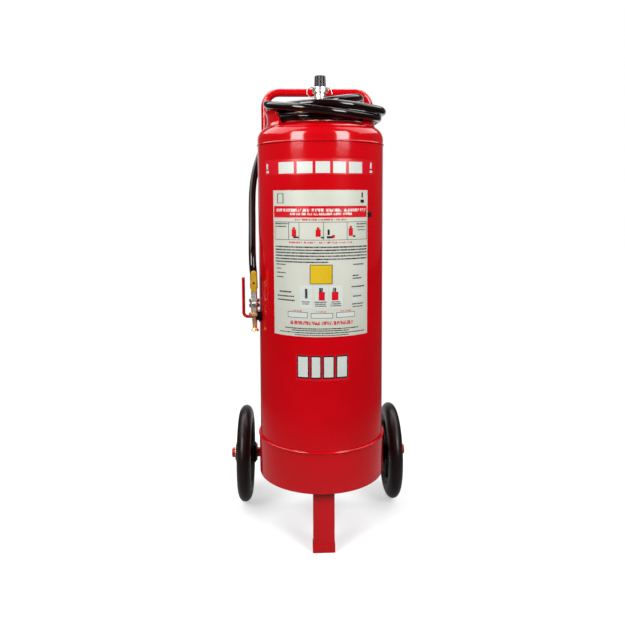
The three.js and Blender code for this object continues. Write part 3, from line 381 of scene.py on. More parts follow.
def around(angle: float, distance: float, height: float) -> Vector:
    """A place at an angle from the front towards the right, at a distance from the tank's axis."""
    a = math.radians(angle)
    return Vector((distance * math.sin(a), -distance * math.cos(a), height))


def moved(x: float, y: float, z: float) -> Matrix:
    """A shift in millimetres."""
    return Matrix.Translation((x * MM, y * MM, z * MM))


def swung(degrees: float, axis: str) -> Matrix:
    """A turn about an axis."""
    return Matrix.Rotation(math.radians(degrees), 4, axis)


def hexagon(name: str, flats: float, low: float, high: float, place: Matrix) -> Object:
    """A nut's hexagon with its corners chamfered."""
    corner = flats / math.sqrt(3)
    body = disc(name, corner, low, high, place, 6)
    inside, outside, slope = flats / 2 - 2, corner + 1, 0.6
    foot, head = low - 2 * slope, high + 2 * slope
    rise = (outside - inside) * slope
    cone = [(0, foot), (inside, foot), (outside, foot + rise), (outside, head - rise), (inside, head), (0, head)]
    return combine(body, "INTERSECT", turned("crown", cone, place, 50))


# ---------------------------------------------------------------- material steps


class Board:
    """The nodes of a material or a group, added one at a time."""

    def __init__(self, tree: bpy.types.NodeTree) -> None:
        """Keep the tree to work on."""
        self.tree = tree

    def add(self, kind: str, **values: object) -> Node:
        """Add a node.

        Args:
            kind: Its type, without the usual "ShaderNode".
            values: Settings of the node, or values for sockets, whose spaces are written as underscores.

        Returns:
            The node.
        """
        node = self.tree.nodes.new(kind if kind.startswith("Node") else f"ShaderNode{kind}")
        for key, value in values.items():
            if hasattr(node, key):
                setattr(node, key, value)
            else:
                node.inputs[key.replace("_", " ")].default_value = value
        return node

    def link(self, source: Socket, target: Socket) -> None:
        """Join an output to an input."""
        self.tree.links.new(source, target)

    def effect(self, name: str, output: str = "Mask", **values: float | Spot) -> Socket:
        """Add one of the shared effects and return its output."""
        return self.add("Group", node_tree=bpy.data.node_groups[name], **values).outputs[output]

    def mix(self, mask: Socket, low: Colour | Socket, high: Colour | Socket) -> Socket:
        """Mix two colours by a mask.

        Args:
            mask: The mask's socket.
            low: A colour, or the socket of one, where the mask is 0.
            high: The same where the mask is 1.

        Returns:
            The result's socket.
        """
        node = self.add("Mix", data_type="RGBA")
        self.link(mask, node.inputs["Factor"])
        for name, value in (("A", low), ("B", high)):
            if isinstance(value, tuple):
                node.inputs[name].default_value = (*value, 1)
            else:
                self.link(value, node.inputs[name])
        return node.outputs["Result"]

    def ranged(self, value: Socket, **limits: float) -> Socket:
        """Map a value from one range on to another and return the result's socket."""
        node = self.add("MapRange", **limits)
        self.link(value, node.inputs["Value"])
        return node.outputs["Result"]

    def reckon(self, operation: str, first: Socket, second: Socket, kind: str = "Math") -> Socket:
        """Reckon with two values or vectors and return the result's socket."""
        node = self.add(kind, operation=operation)
        self.link(first, node.inputs[0])
        self.link(second, node.inputs[1])
        return node.outputs[0]

    def axis(self, vector: Socket, name: str) -> Socket:
        """Return the socket of one of a vector's parts."""
        node = self.add("SeparateXYZ")
        self.link(vector, node.inputs["Vector"])
        return node.outputs[name]


class Effect(Board):
    """A shared effect: a node group that gives a mask or a normal."""

    def __init__(self, name: str, output: str, **inputs: float | Spot) -> None:
        """Make the empty group.

        Args:
            name: The group's name.
            output: What it gives, Mask or Normal.
            inputs: Its inputs with their usual values.
        """
        super().__init__(bpy.data.node_groups.new(name, "ShaderNodeTree"))
        for key, value in inputs.items():
            kind = "NodeSocketVector" if isinstance(value, tuple) else "NodeSocketFloat"
            self.tree.interface.new_socket(name=key, in_out="INPUT", socket_type=kind).default_value = value
        kind = "NodeSocketVector" if output == "Normal" else "NodeSocketFloat"
        self.tree.interface.new_socket(name=output, in_out="OUTPUT", socket_type=kind)
        self.given = self.add("NodeGroupInput").outputs
        self.result = self.add("NodeGroupOutput").inputs[output]
        coordinates = self.add("TexCoord").outputs
        self.place, self.normal = coordinates["Object"], coordinates["Normal"]

    def noise(self, place: Socket, **values: float) -> Socket:
        """Return the socket of noise at a place, at the scale that is given."""
        node = self.add("TexNoise", **values)
        self.link(place, node.inputs["Vector"])
        self.link(self.given["Scale"], node.inputs["Scale"])
        return node.outputs["Fac"]

    def stretched(self, scale: Spot) -> Socket:
        """Return the socket of the place, stretched."""
        node = self.add("Mapping", Scale=scale)
        self.link(self.place, node.inputs["Vector"])
        return node.outputs["Vector"]

    def bump(self, height: Socket) -> None:
        """Give the normal of a height, at the depth that is given."""
        node = self.add("Bump", Strength=1.0)
        self.link(height, node.inputs["Height"])
        self.link(self.given["Depth"], node.inputs["Distance"])
        self.link(node.outputs["Normal"], self.result)

    def mask(self, value: Socket, scaled: bool = False) -> None:
        """Give a mask, scaled by the amount that is given where it has one."""
        self.link(self.reckon("MULTIPLY", value, self.given["Amount"]) if scaled else value, self.result)


def make_effects() -> None:
    """Make the shared effects: skins, soft patches, dust, tool lines, scuffs and printed dashes."""
    grain = Effect("surface_grain", "Normal", Scale=300.0, Depth=0.00002)
    grain.bump(grain.noise(grain.place, Detail=2.0))

    patches = Effect("tone_patches", "Mask", Scale=8.0)
    tone = patches.noise(patches.place, Detail=4.0, Roughness=0.6)
    patches.mask(patches.ranged(tone, From_Min=0.3, From_Max=0.7))

    dust = Effect("settled_dust", "Mask", Amount=0.3, Scale=60.0)
    upward = dust.ranged(dust.axis(dust.normal, "Z"), From_Min=-0.2, From_Max=1.0)
    dust.mask(dust.reckon("MULTIPLY", upward, dust.noise(dust.place, Detail=6.0, Roughness=0.7)), True)

    lines = Effect("tool_lines", "Normal", Stretch=(1.0, 1.0, 1.0), Scale=1500.0, Depth=0.000004)
    along = lines.reckon("MULTIPLY", lines.place, lines.given["Stretch"], "VectorMath")
    lines.bump(lines.noise(along, Detail=3.0, Roughness=0.65))

    rubs = Effect("light_scuffs", "Mask", Scale=90.0, Amount=0.5)
    rubbed = rubs.noise(rubs.stretched((1.0, 2.2, 0.35)), Detail=5.0, Roughness=0.75)
    rubs.mask(rubs.ranged(rubbed, From_Min=0.6, From_Max=0.72), True)

    dashes = Effect("print_dashes", "Mask", Scale=420.0)
    broken = dashes.noise(dashes.stretched((1.0, 1.0, 0.25)), Detail=1.0, Roughness=0.5)
    dashes.mask(dashes.ranged(broken, From_Min=0.44, From_Max=0.52))


@dataclass(frozen=True)
class Finish:
    """A finish: its name, the record's slot and how its shader is set."""

    name: str
    slot: str
    low: Colour
    high: Colour
    roughness: Pair
    patch: float = 9.0
    grain: Pair = (400.0, 0.00001)
    specular: float = 0.5

    def shader(self, board: Board) -> Node:
        """Set the constant values of the shader and return it."""
        node = board.tree.nodes["Principled BSDF"]
        node.inputs["Specular IOR Level"].default_value = self.specular
        return node

    def skin(self, board: Board) -> Socket:
        """Return the socket of the surface's fine normal."""
        scale, depth = self.grain
        return board.effect("surface_grain", "Normal", Scale=scale, Depth=depth)

    def tone(self, board: Board) -> Socket:
        """Return the mask that the colour and the roughness follow."""
        return board.effect("tone_patches", Scale=self.patch)

    def colour(self, board: Board, mask: Socket) -> Socket:
        """Return the socket of the surface's colour."""
        return board.mix(mask, self.low, self.high)

    def material(self) -> bpy.types.Material:
        """Make the material, or find it again.

        Returns:
            The finish's material.
        """
        known = bpy.data.materials.get(self.name)
        if known:
            return known
        made = bpy.data.materials.new(self.name)
        made.use_nodes = True
        board = Board(made.node_tree)
        shader, mask = self.shader(board), self.tone(board)
        low, high = self.roughness
        board.link(self.colour(board, mask), shader.inputs["Base Color"])
        board.link(board.ranged(mask, To_Min=low, To_Max=high), shader.inputs["Roughness"])
        board.link(self.skin(board), shader.inputs["Normal"])
        return made


@dataclass(frozen=True)
class Paint(Finish):
    """Glossy powder coat with a faint orange peel."""

    coat: Pair = (0.2, 0.03)

    def shader(self, board: Board) -> Node:
        """Lay a clear, hard gloss over the colour."""
        node = super().shader(board)
        node.inputs["Coat Weight"].default_value, node.inputs["Coat Roughness"].default_value = self.coat
        return node


@dataclass(frozen=True)
class Rubber(Finish):
    """Rubber with a fine skin and a little dust on top."""

    dust: float = 0.25
    dust_colour: Colour = (0.06, 0.045, 0.045)

    def colour(self, board: Board, mask: Socket) -> Socket:
        """Let dust lighten what faces upwards."""
        settled = board.effect("settled_dust", Amount=self.dust, Scale=45.0)
        return board.mix(settled, super().colour(board, mask), self.dust_colour)


@dataclass(frozen=True)
class Metal(Finish):
    """Turned or brushed metal, with its lines along one direction."""

    lines: Grain = Grain.UP
    depth: float = 0.000004

    def shader(self, board: Board) -> Node:
        """Make the surface metallic."""
        node = super().shader(board)
        node.inputs["Metallic"].default_value = 1.0
        return node

    def skin(self, board: Board) -> Socket:
        """Use the tool's lines as the fine normal."""
        return board.effect("tool_lines", "Normal", Stretch=self.lines.value, Depth=self.depth)


@dataclass(frozen=True)
class Vinyl(Finish):
    """Dipped or moulded plastic with light scuffs."""

    scuff: Colour = (0.3, 0.2, 0.05)
    scuffs: float = 0.4

    def colour(self, board: Board, mask: Socket) -> Socket:
        """Let scuffs change the colour in small places."""
        return board.mix(board.effect("light_scuffs", Amount=self.scuffs), super().colour(board, mask), self.scuff)


@dataclass(frozen=True)
class Print(Finish):
    """Printing ink on the label, even or in broken dashes."""

    dashes: float = 0.0

    def tone(self, board: Board) -> Socket:
        """Follow the broken marks where the ink has them."""
        return board.effect("print_dashes", Scale=self.dashes) if self.dashes else super().tone(board)


RED = Paint("red_powder_coat", "red_paint", (0.33, 0.0004, 0.002), (0.38, 0.0008, 0.004), (0.1, 0.15), 6.0,
            (260.0, 0.00002), 0.25)
HOSE_RUBBER = Rubber("black_hose_rubber", "hose_rubber", (0.003, 0.0006, 0.0006), (0.006, 0.0015, 0.0015),
                     (0.08, 0.13), 14.0, (900.0, 0.000004), 0.35, dust=0.0)
TYRE_RUBBER = Rubber("moulded_tyre_rubber", "tyre_rubber", (0.004, 0.001, 0.001), (0.009, 0.003, 0.003),
                     (0.3, 0.42), 22.0, (160.0, 0.0004), 0.25, dust=0.15, dust_colour=(0.03, 0.02, 0.02))
BLACK_PLASTIC = Vinyl("black_moulding", "black_plastic", (0.005, 0.0015, 0.0015), (0.009, 0.003, 0.003),
                      (0.2, 0.3), 30.0, (1200.0, 0.00001), 0.3, scuff=(0.03, 0.02, 0.02), scuffs=0.2)
HUB_PLASTIC = Vinyl("matt_black_moulding", "black_plastic", (0.004, 0.001, 0.001), (0.008, 0.003, 0.003),
                    (0.35, 0.5), 30.0, (1200.0, 0.00001), 0.08, scuff=(0.02, 0.015, 0.015), scuffs=0.2)
HEAD_STEEL = Metal("turned_head_steel", "bright_steel", (0.56, 0.55, 0.52), (0.7, 0.69, 0.66), (0.26, 0.36), 60.0)
WIRE_STEEL = Metal("bright_wire", "bright_steel", (0.4, 0.38, 0.35), (0.55, 0.53, 0.5), (0.2, 0.3), 90.0,
                   lines=Grain.ACROSS)
LEVER_STEEL = Metal("brushed_lever_steel", "bright_steel", (0.62, 0.6, 0.57), (0.82, 0.8, 0.76), (0.38, 0.48),
                    80.0, lines=Grain.ACROSS)
NICKEL = Metal("worn_nickel", "nickel", (0.78, 0.66, 0.54), (0.92, 0.84, 0.72), (0.32, 0.44), 70.0)
BRASS = Metal("turned_brass", "brass", (0.78, 0.42, 0.18), (0.9, 0.54, 0.26), (0.4, 0.5), 60.0)
ZINC = Metal("yellow_zinc", "zinc_steel", (0.6, 0.52, 0.36), (0.75, 0.68, 0.5), (0.35, 0.5), 40.0,
             lines=Grain.ACROSS)
# A dark copy of the yellow zinc: painted shade on the inner washer, which sits between the wheel and the skirt.
SHADED_ZINC = Metal("soiled_zinc", "zinc_steel", (0.04, 0.03, 0.025), (0.09, 0.07, 0.06), (0.4, 0.5), 40.0,
                    lines=Grain.ACROSS)
GREY_STEEL = Metal("plain_steel", "grey_steel", (0.28, 0.29, 0.3), (0.4, 0.41, 0.42), (0.35, 0.5), 30.0)
GRIP = Vinyl("yellow_vinyl", "yellow_grip", (0.28, 0.135, 0.0006), (0.35, 0.2, 0.003), (0.28, 0.42), 40.0,
             (600.0, 0.00002))
SEAT_PLASTIC = Finish("white_seat_plastic", "white_seat", (0.75, 0.74, 0.7), (0.85, 0.84, 0.8), (0.35, 0.45))
SHEET = Print("satin_label_sheet", "label_sheet", (0.36, 0.37, 0.315), (0.4, 0.41, 0.355), (0.3, 0.42), 5.0)
WHITE_INK = Print("white_print", "label_sheet", (0.38, 0.41, 0.38), (0.43, 0.45, 0.42), (0.3, 0.4), 12.0)
BLACK_INK = Print("black_print", "label_sheet", (0.005, 0.004, 0.005), (0.01, 0.008, 0.009), (0.3, 0.4),
                  specular=0.15)
RED_INK = Print("red_print", "label_sheet", (0.38, 0.002, 0.008), (0.42, 0.004, 0.01), (0.2, 0.3), 7.0)
YELLOW_INK = Print("yellow_print", "label_sheet", (0.4, 0.26, 0.002), (0.46, 0.31, 0.006), (0.3, 0.4))
GREY_LINES = Print("grey_dashes", "label_sheet", (0.14, 0.15, 0.14), (0.008, 0.007, 0.008), (0.3, 0.4),
                   specular=0.2, dashes=420.0)
RED_LINES = Print("red_dashes", "label_sheet", (0.37, 0.37, 0.34), (0.36, 0.02, 0.02), (0.3, 0.4), dashes=360.0)
WHITE_LINES = Print("white_dashes", "label_sheet", (0.38, 0.002, 0.008), (0.5, 0.46, 0.44), (0.3, 0.4),
                    dashes=330.0)


def dress(
    piece: Object, finish: Finish, body: Body | None = Body.TANK, smooth: float = 30, stands: bool = True
) -> Object:
    """Clean up a piece, finish it and tie it to the frame.

    Args:
        piece: The piece, called after the frame's node that it stands for.
        finish: Its finish.
        body: The body that it rides on, or none to leave it without one.
        smooth: Faces that meet at less than this angle are shaded as one.
        stands: Whether it stands for a node.

    Returns:
        The piece.
    """
    select(piece)
    edit()
    bpy.ops.mesh.dissolve_degenerate(threshold=MERGE)
    close_up()
    bpy.ops.object.mode_set(mode="OBJECT")
    piece.data.materials.clear()
    piece.data.materials.append(finish.material())
    bpy.ops.object.shade_smooth_by_angle(angle=math.radians(smooth))
    apply_modifier(piece, "WEIGHTED_NORMAL", mode="FACE_AREA", weight=50, keep_sharp=True)
    if stands:
        node = piece.name.split(".")[0]
        piece.name = piece.data.name = f"{node}_made"
        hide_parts(node)
    if body:
        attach(piece, body.value)
    LOG.info("%s rides on %s", piece.name, body.value if body else "two bodies")
    return piece


# ---------------------------------------------------------------- stage


def grey(value: float) -> Colour:
    """A neutral colour."""
    return value, value, value


@dataclass
class Studio:
    """The camera, a plain pale floor and soft light."""

    lens: float = 36.11
    camera_place: Spot = (-70.8, -1520.2, 820.6)
    tilt: float = 5.125
    heading: float = 2.51
    roll: float = -0.21
    shift: Pair = (-0.0103, -0.0894)
    ground: tuple[Spot, Spot] = ((-6000, -6000, -20), (6000, 9000, 0))
    fade: Pair = (1100, 500)
    strip: Pair = (0.88, 0.97)
    dim: Colour = grey(0.02)
    paper: Colour = grey(0.42)
    glow: Colour = grey(0.47)
    bounce: Colour = grey(0.14)
    room: Colour = grey(0.08)
    behind: Colour = grey(0.85)
    white: Colour = grey(1.0)
    lights: tuple[tuple[str, float, float, float, Pair, float], ...] = (
        ("soft_box_left", -43, 20.5, 2300, (880, 1150), 67),
        ("soft_box_right", 37, 20.5, 2300, (880, 1150), 67),
        ("side_fill_left", -105, 50, 2500, (3000, 2400), 86),
        ("side_fill_right", 105, 50, 2500, (3000, 2400), 76),
        ("back_fill", 180, 52, 2400, (1600, 900), 22),
    )

    def camera(self) -> None:
        """Stand the camera where the photograph was taken from."""
        view = TANK @ moved(*self.camera_place)
        view = view @ swung(-self.heading, "Z") @ swung(90 - self.tilt, "X") @ swung(self.roll, "Z")
        bpy.ops.object.camera_add()
        camera = bpy.context.active_object
        camera.name = "camera"
        camera.matrix_world = view
        camera.data.lens = self.lens
        camera.data.shift_x, camera.data.shift_y = self.shift
        camera.data.clip_end = 50
        bpy.context.scene.camera = camera

    def beyond(self, board: Board, along: Socket, low: Colour) -> Socket:
        """A colour with the bright strip straight behind the tank, from how far back a direction points."""
        return board.mix(board.ranged(along, From_Min=self.strip[0], From_Max=self.strip[1]), low, self.behind)

    @staticmethod
    def by_ray(board: Board, lighting: Socket, seen: Colour | Socket) -> Socket:
        """Choose between what lights the object and what is seen behind it."""
        return board.mix(board.add("LightPath").outputs["Is Camera Ray"], lighting, seen)

    def floor(self) -> None:
        """Lay a wide pale floor, which lights the extinguisher only from close by."""
        piece = block("floor", *self.ground)
        made = bpy.data.materials.new("pale_floor")
        made.use_nodes = True
        board = Board(made.node_tree)
        place = board.add("TexCoord").outputs["Object"]
        length = board.add("VectorMath", operation="LENGTH")
        board.link(place, length.inputs[0])
        reach = length.outputs["Value"]
        near = board.ranged(reach, From_Min=self.fade[0] * MM, From_Max=self.fade[1] * MM)
        beyond = self.beyond(board, board.reckon("DIVIDE", board.axis(place, "Y"), reach), self.dim)
        shader = made.node_tree.nodes["Principled BSDF"]
        for name, lit_far, seen_far, seen_near in (
            ("Base Color", self.dim, self.dim, self.paper),
            ("Emission Color", beyond, self.white, self.glow),
        ):
            lighting, seen = board.mix(near, lit_far, self.bounce), board.mix(near, seen_far, seen_near)
            board.link(self.by_ray(board, lighting, seen), shader.inputs[name])
        for name, value in (("Emission Strength", 1.0), ("Roughness", 0.8), ("Specular IOR Level", 0.0)):
            shader.inputs[name].default_value = value
        piece.data.materials.append(made)
        piece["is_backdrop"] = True

    def light(self, name: str, bearing: float, height: float, distance: float, size: Pair, watts: float) -> None:
        """Hang one soft box that faces the tank.

        Args:
            name: The light's name.
            bearing: Its bearing from the front towards the right, in degrees.
            height: How far above the horizon it stands as seen from the tank's top, in degrees.
            distance: How far it is from the tank, in millimetres.
            size: Its width and height, in millimetres.
            watts: Its power.
        """
        top = Vector((0, 0, 900))
        rise = math.radians(height)
        spot = top + around(bearing, distance * math.cos(rise), distance * math.sin(rise))
        aim = (spot - top).to_track_quat("Z", "Y").to_matrix().to_4x4()
        bpy.ops.object.light_add(type="AREA")
        lamp = bpy.context.active_object
        lamp.name = name
        lamp.matrix_world = TANK @ moved(*spot) @ aim
        lamp.data.shape = "RECTANGLE"
        lamp.data.size, lamp.data.size_y = size[0] * MM, size[1] * MM
        lamp.data.energy = watts

    def sky(self) -> None:
        """Fill the room with soft light, brightest straight behind the tank."""
        world = bpy.data.worlds.new("studio")
        bpy.context.scene.world = world
        world.use_nodes = True
        board = Board(world.node_tree)
        shade = world.node_tree.nodes["Background"]
        lighting = self.beyond(board, board.axis(board.add("TexCoord").outputs["Generated"], "Y"), self.room)
        board.link(self.by_ray(board, lighting, self.white), shade.inputs["Color"])
        shade.inputs["Strength"].default_value = 1.0

    def build(self) -> None:
        """Set the whole stage."""
        bpy.context.scene.view_settings.view_transform = "Standard"
        self.camera()
        self.floor()
        self.sky()
        for light in self.lights:
            self.light(*light)


# ---------------------------------------------------------------- hose


@dataclass
class Outlet:
    """The discharge outlet on the shoulder: boss, siphon tube, elbow, hose nut and crimped ferrule."""

    angle: float = -97
    distance: float = 68
    turn: float = 17
    boss_radius: float = 14.5
    boss_low: float = 1003.03
    boss_high: float = 1028.03
    siphon_radius: float = 10
    siphon_wall: float = 1.4
    siphon_foot: float = 195.97
    elbow_height: float = 1044.03
    elbow_reach: float = 17
    elbow_radius: float = 9.5
    elbow_bore: float = 5.5
    bend: float = 12
    nut_length: float = 11
    ferrule_radius: float = 10.8
    ferrule_length: float = 20
    bore: float = 5

    def place(self) -> Matrix:
        """The outlet's own axes, with X along its mouth."""
        x, y, _ = around(self.angle, self.distance, 0)
        return TANK @ moved(x, y, 0) @ swung(self.angle - 180 - self.turn, "Z")

    def mouth(self, reach: float = 0) -> Vector:
        """A place in the tank's axes beyond the elbow's mouth."""
        local = Vector((self.elbow_reach + reach, 0, self.elbow_height)) * MM
        return (TANK.inverted() @ self.place() @ local) / MM

    def ferrule(self) -> list[Pair]:
        """The profile of the crimped sleeve, with two grooves."""
        r, end = self.ferrule_radius, self.ferrule_length
        points = [(self.bore, 0), (r - 1, 0), (r, 1.5)]
        for i in (1, 2):
            z = end * i / 3
            points += [(r, z - 2), (r - 0.9, z), (r, z + 2)]
        return [*points, (r, end - 1), (r - 0.6, end), (self.bore, end), points[0]]

    def build(self) -> None:
        """Build the outlet's pieces."""
        place = self.place()
        outside, low, high = self.boss_radius, self.boss_low, self.boss_high
        r, foot, top = self.siphon_radius, self.siphon_foot, low + 10
        dress(rounded(ring("discharge_boss", (r + GAP, outside), (low, high), place), 1), RED)
        dress(ring("siphon_tube", (r - self.siphon_wall, r), (foot, top), place, 40), GREY_STEEL)

        cup = turned(
            "siphon_strainer",
            [(0, foot - 8), (15, foot - 8), (15, foot + 16), (r + GAP + 1.6, foot + 22), (r + GAP, foot + 22),
             (r + GAP, foot + 2), (13, foot + 1), (13, foot - 6), (0, foot - 6)],
            place, 48,
        )
        slots = [block("slot", (-20, -1.2, foot - 5), (20, 1.2, foot), place @ swung(60 * i, "Z")) for i in range(3)]
        dress(cut(cup, *slots), BRASS)

        h, reach = self.elbow_height, self.elbow_reach
        along = place @ moved(0, 0, h) @ swung(90, "Y")
        elbow = bent("discharge_elbow", [(0, 0, top + GAP), (0, 0, h), (reach, 0, h)], self.bend,
                     self.elbow_radius, place, 32)
        joined(elbow, hexagon("hex", 2 * outside - 4, high + GAP, high + 7, place),
               hexagon("collar", 2 * self.ferrule_radius - 2, reach - 5, reach, along))
        bore = bent("bore", [(0, 0, top - 2), (0, 0, h), (reach + 2, 0, h)], self.bend, self.elbow_bore, place)
        dress(cut(elbow, bore), BRASS)

        start, end = reach + GAP, reach + GAP + self.nut_length
        nut = joined(
            disc("hose_nut", self.ferrule_radius, start, start + 4, along),
            hexagon("hex", 2 * self.ferrule_radius - 1, start + 3.5, end, along),
        )
        dress(cut(nut, disc("bore", self.bore, start - 1, end + 1, along)), BRASS)
        ferrule = turned("head_ferrule", self.ferrule(), along @ moved(0, 0, end + GAP))
        dress(rounded(ferrule, 0.3), HEAD_STEEL)


@dataclass
class Hose:
    """The rubber hose: one route from its ferrule round the shoulder and down to the valve."""

    radius: float = 8.75
    length: float = 3.469
    steps: int = 24
    first: int = 1
    last: int = 2
    rise: Spot = (-20, 95, 1049.5)
    tip: Spot = (-126, 0, 1047.5)
    tip_heading: Spot = (0.03, 1, 0.09)
    turns: tuple[Pair, ...] = (
        (107, 1054.5), (116, 1060), (93.5, 1062), (98, 1054),
        (109, 1038), (103, 1025), (94, 1022), (94.5, 1039.5),
        (120, 1035.5), (141, 1029), (146.9, 1029.4), (146.2, 1025.5),
        (135, 1032.5), (122, 1030.5), (114.2, 1027.4), (110, 1025.4),
        (101.5, 1014), (108, 1011), (113.4, 1009), (114.6, 1008.3),
        (120.5, 1005.2), (114.5, 1008.5), (113.4, 1008.8), (115, 1007.8),
        (126.5, 1003.4), (138.4, 1006.5), (137.2, 1014.7), (138.6, 1008.9),
        (148.5, 1014.5), (142.5, 1031.5), (126, 1047.5),
    )
    drop: tuple[Spot, ...] = (
        (-124.3, 47, 1048.5), (-122.6, 76, 1037.5), (-124, 97, 1018), (-129.5, 112, 992),
        (-140, 117, 962), (-152, 112, 930), (-161.5, 98, 895), (-167, 78, 855), (-168, 54, 812),
        (-166.5, 22, 765), (-165, -13, 722), (-163.8, -32, 692), (-162.6, -40.3, 668),
    )

    @staticmethod
    def spline(values: list[float], at: float) -> float:
        """Read a smooth spline through a value at each station.

        Args:
            values: The value at each station.
            at: Where to read the spline, in stations from the first.

        Returns:
            The spline's value there.
        """
        last = len(values) - 1

        def value(i: int) -> float:
            """The value at a station, carried on in a straight line beyond the ends."""
            if i < 0:
                return (1 - i) * values[0] + i * values[1]
            if i > last:
                return (i - last + 1) * values[last] - (i - last) * values[last - 1]
            return values[i]

        def control(i: int) -> float:
            """The spline's control value at a station."""
            return value(i) - (value(i - 1) - 2 * value(i) + value(i + 1)) / 6

        k = min(math.floor(at), last - 1)
        f = at - k
        weights = [(1 - f) ** 3, 3 * f**3 - 6 * f**2 + 4, -3 * f**3 + 3 * f**2 + 3 * f + 1, f**3]
        return sum(w * control(k - 1 + i) / 6 for i, w in enumerate(weights))

    def turn_points(self) -> list[Vector]:
        """The route's points round the shoulder, clockwise as seen from above."""
        radii, heights = ([pair[i] for pair in self.turns] for i in (0, 1))
        whole = (len(self.turns) - 1) * self.steps // 8
        return [
            around(180 - 360 * i / self.steps, self.spline(radii, 8 * i / self.steps),
                   self.spline(heights, 8 * i / self.steps))
            for i in range(self.first, whole - self.last + 1)
        ]

    def route(self, outlet: Outlet, end: Vector, up: Vector) -> list[Vector]:
        """The whole route.

        Args:
            outlet: The outlet that the hose leaves.
            end: Where it enters the valve's ferrule.
            up: The direction in which the ferrule points.

        Returns:
            The route's points, in the tank's axes.
        """
        straight = 2 * self.radius
        reach = GAP + outlet.nut_length + GAP + outlet.ferrule_length + GAP
        tip, heading = Vector(self.tip), Vector(self.tip_heading).normalized()
        return [
            outlet.mouth(reach), outlet.mouth(reach + straight), Vector(self.rise), *self.turn_points(),
            tip - heading * straight, tip, tip + heading * straight,
            *[Vector(p) for p in self.drop], end + up * straight, end,
        ]

    def build(self, outlet: Outlet, end: Vector, up: Vector, pieces: list[str]) -> Object:
        """Args:
            outlet: The outlet that it leaves.
            end: Where it enters the valve's ferrule.
            up: The direction in which that ferrule points.
            pieces: What hangs on the hose; not used.

        Returns:
            The hose.
        """
        points = [TANK @ (p * MM) for p in self.route(outlet, end, up)]
        deselect()
        bpy.ops.curve.primitive_bezier_curve_add()
        hose = named("hose")
        spline = hose.data.splines[0]
        spline.bezier_points.add(len(points) - 2)
        for knot, place in zip(spline.bezier_points, points):
            knot.co = place
            knot.radius = min(1.0, (place.y - CAD_BOX[0][1]) / (self.radius * MM))
            knot.handle_left_type = knot.handle_right_type = "AUTO"
        hose.data.dimensions = "3D"
        hose.data.resolution_u = hose.data.bevel_resolution = 6
        hose.data.bevel_depth = self.radius * MM
        hose.data.use_fill_caps = True
        hose.data.materials.append(HOSE_RUBBER.material())
        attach(hose, Body.TANK.value)
        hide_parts("hose_coil", "hose_drop")
        LOG.info("hose of %.2f m", self.length)
        return hose


# ---------------------------------------------------------------- nozzle and valve


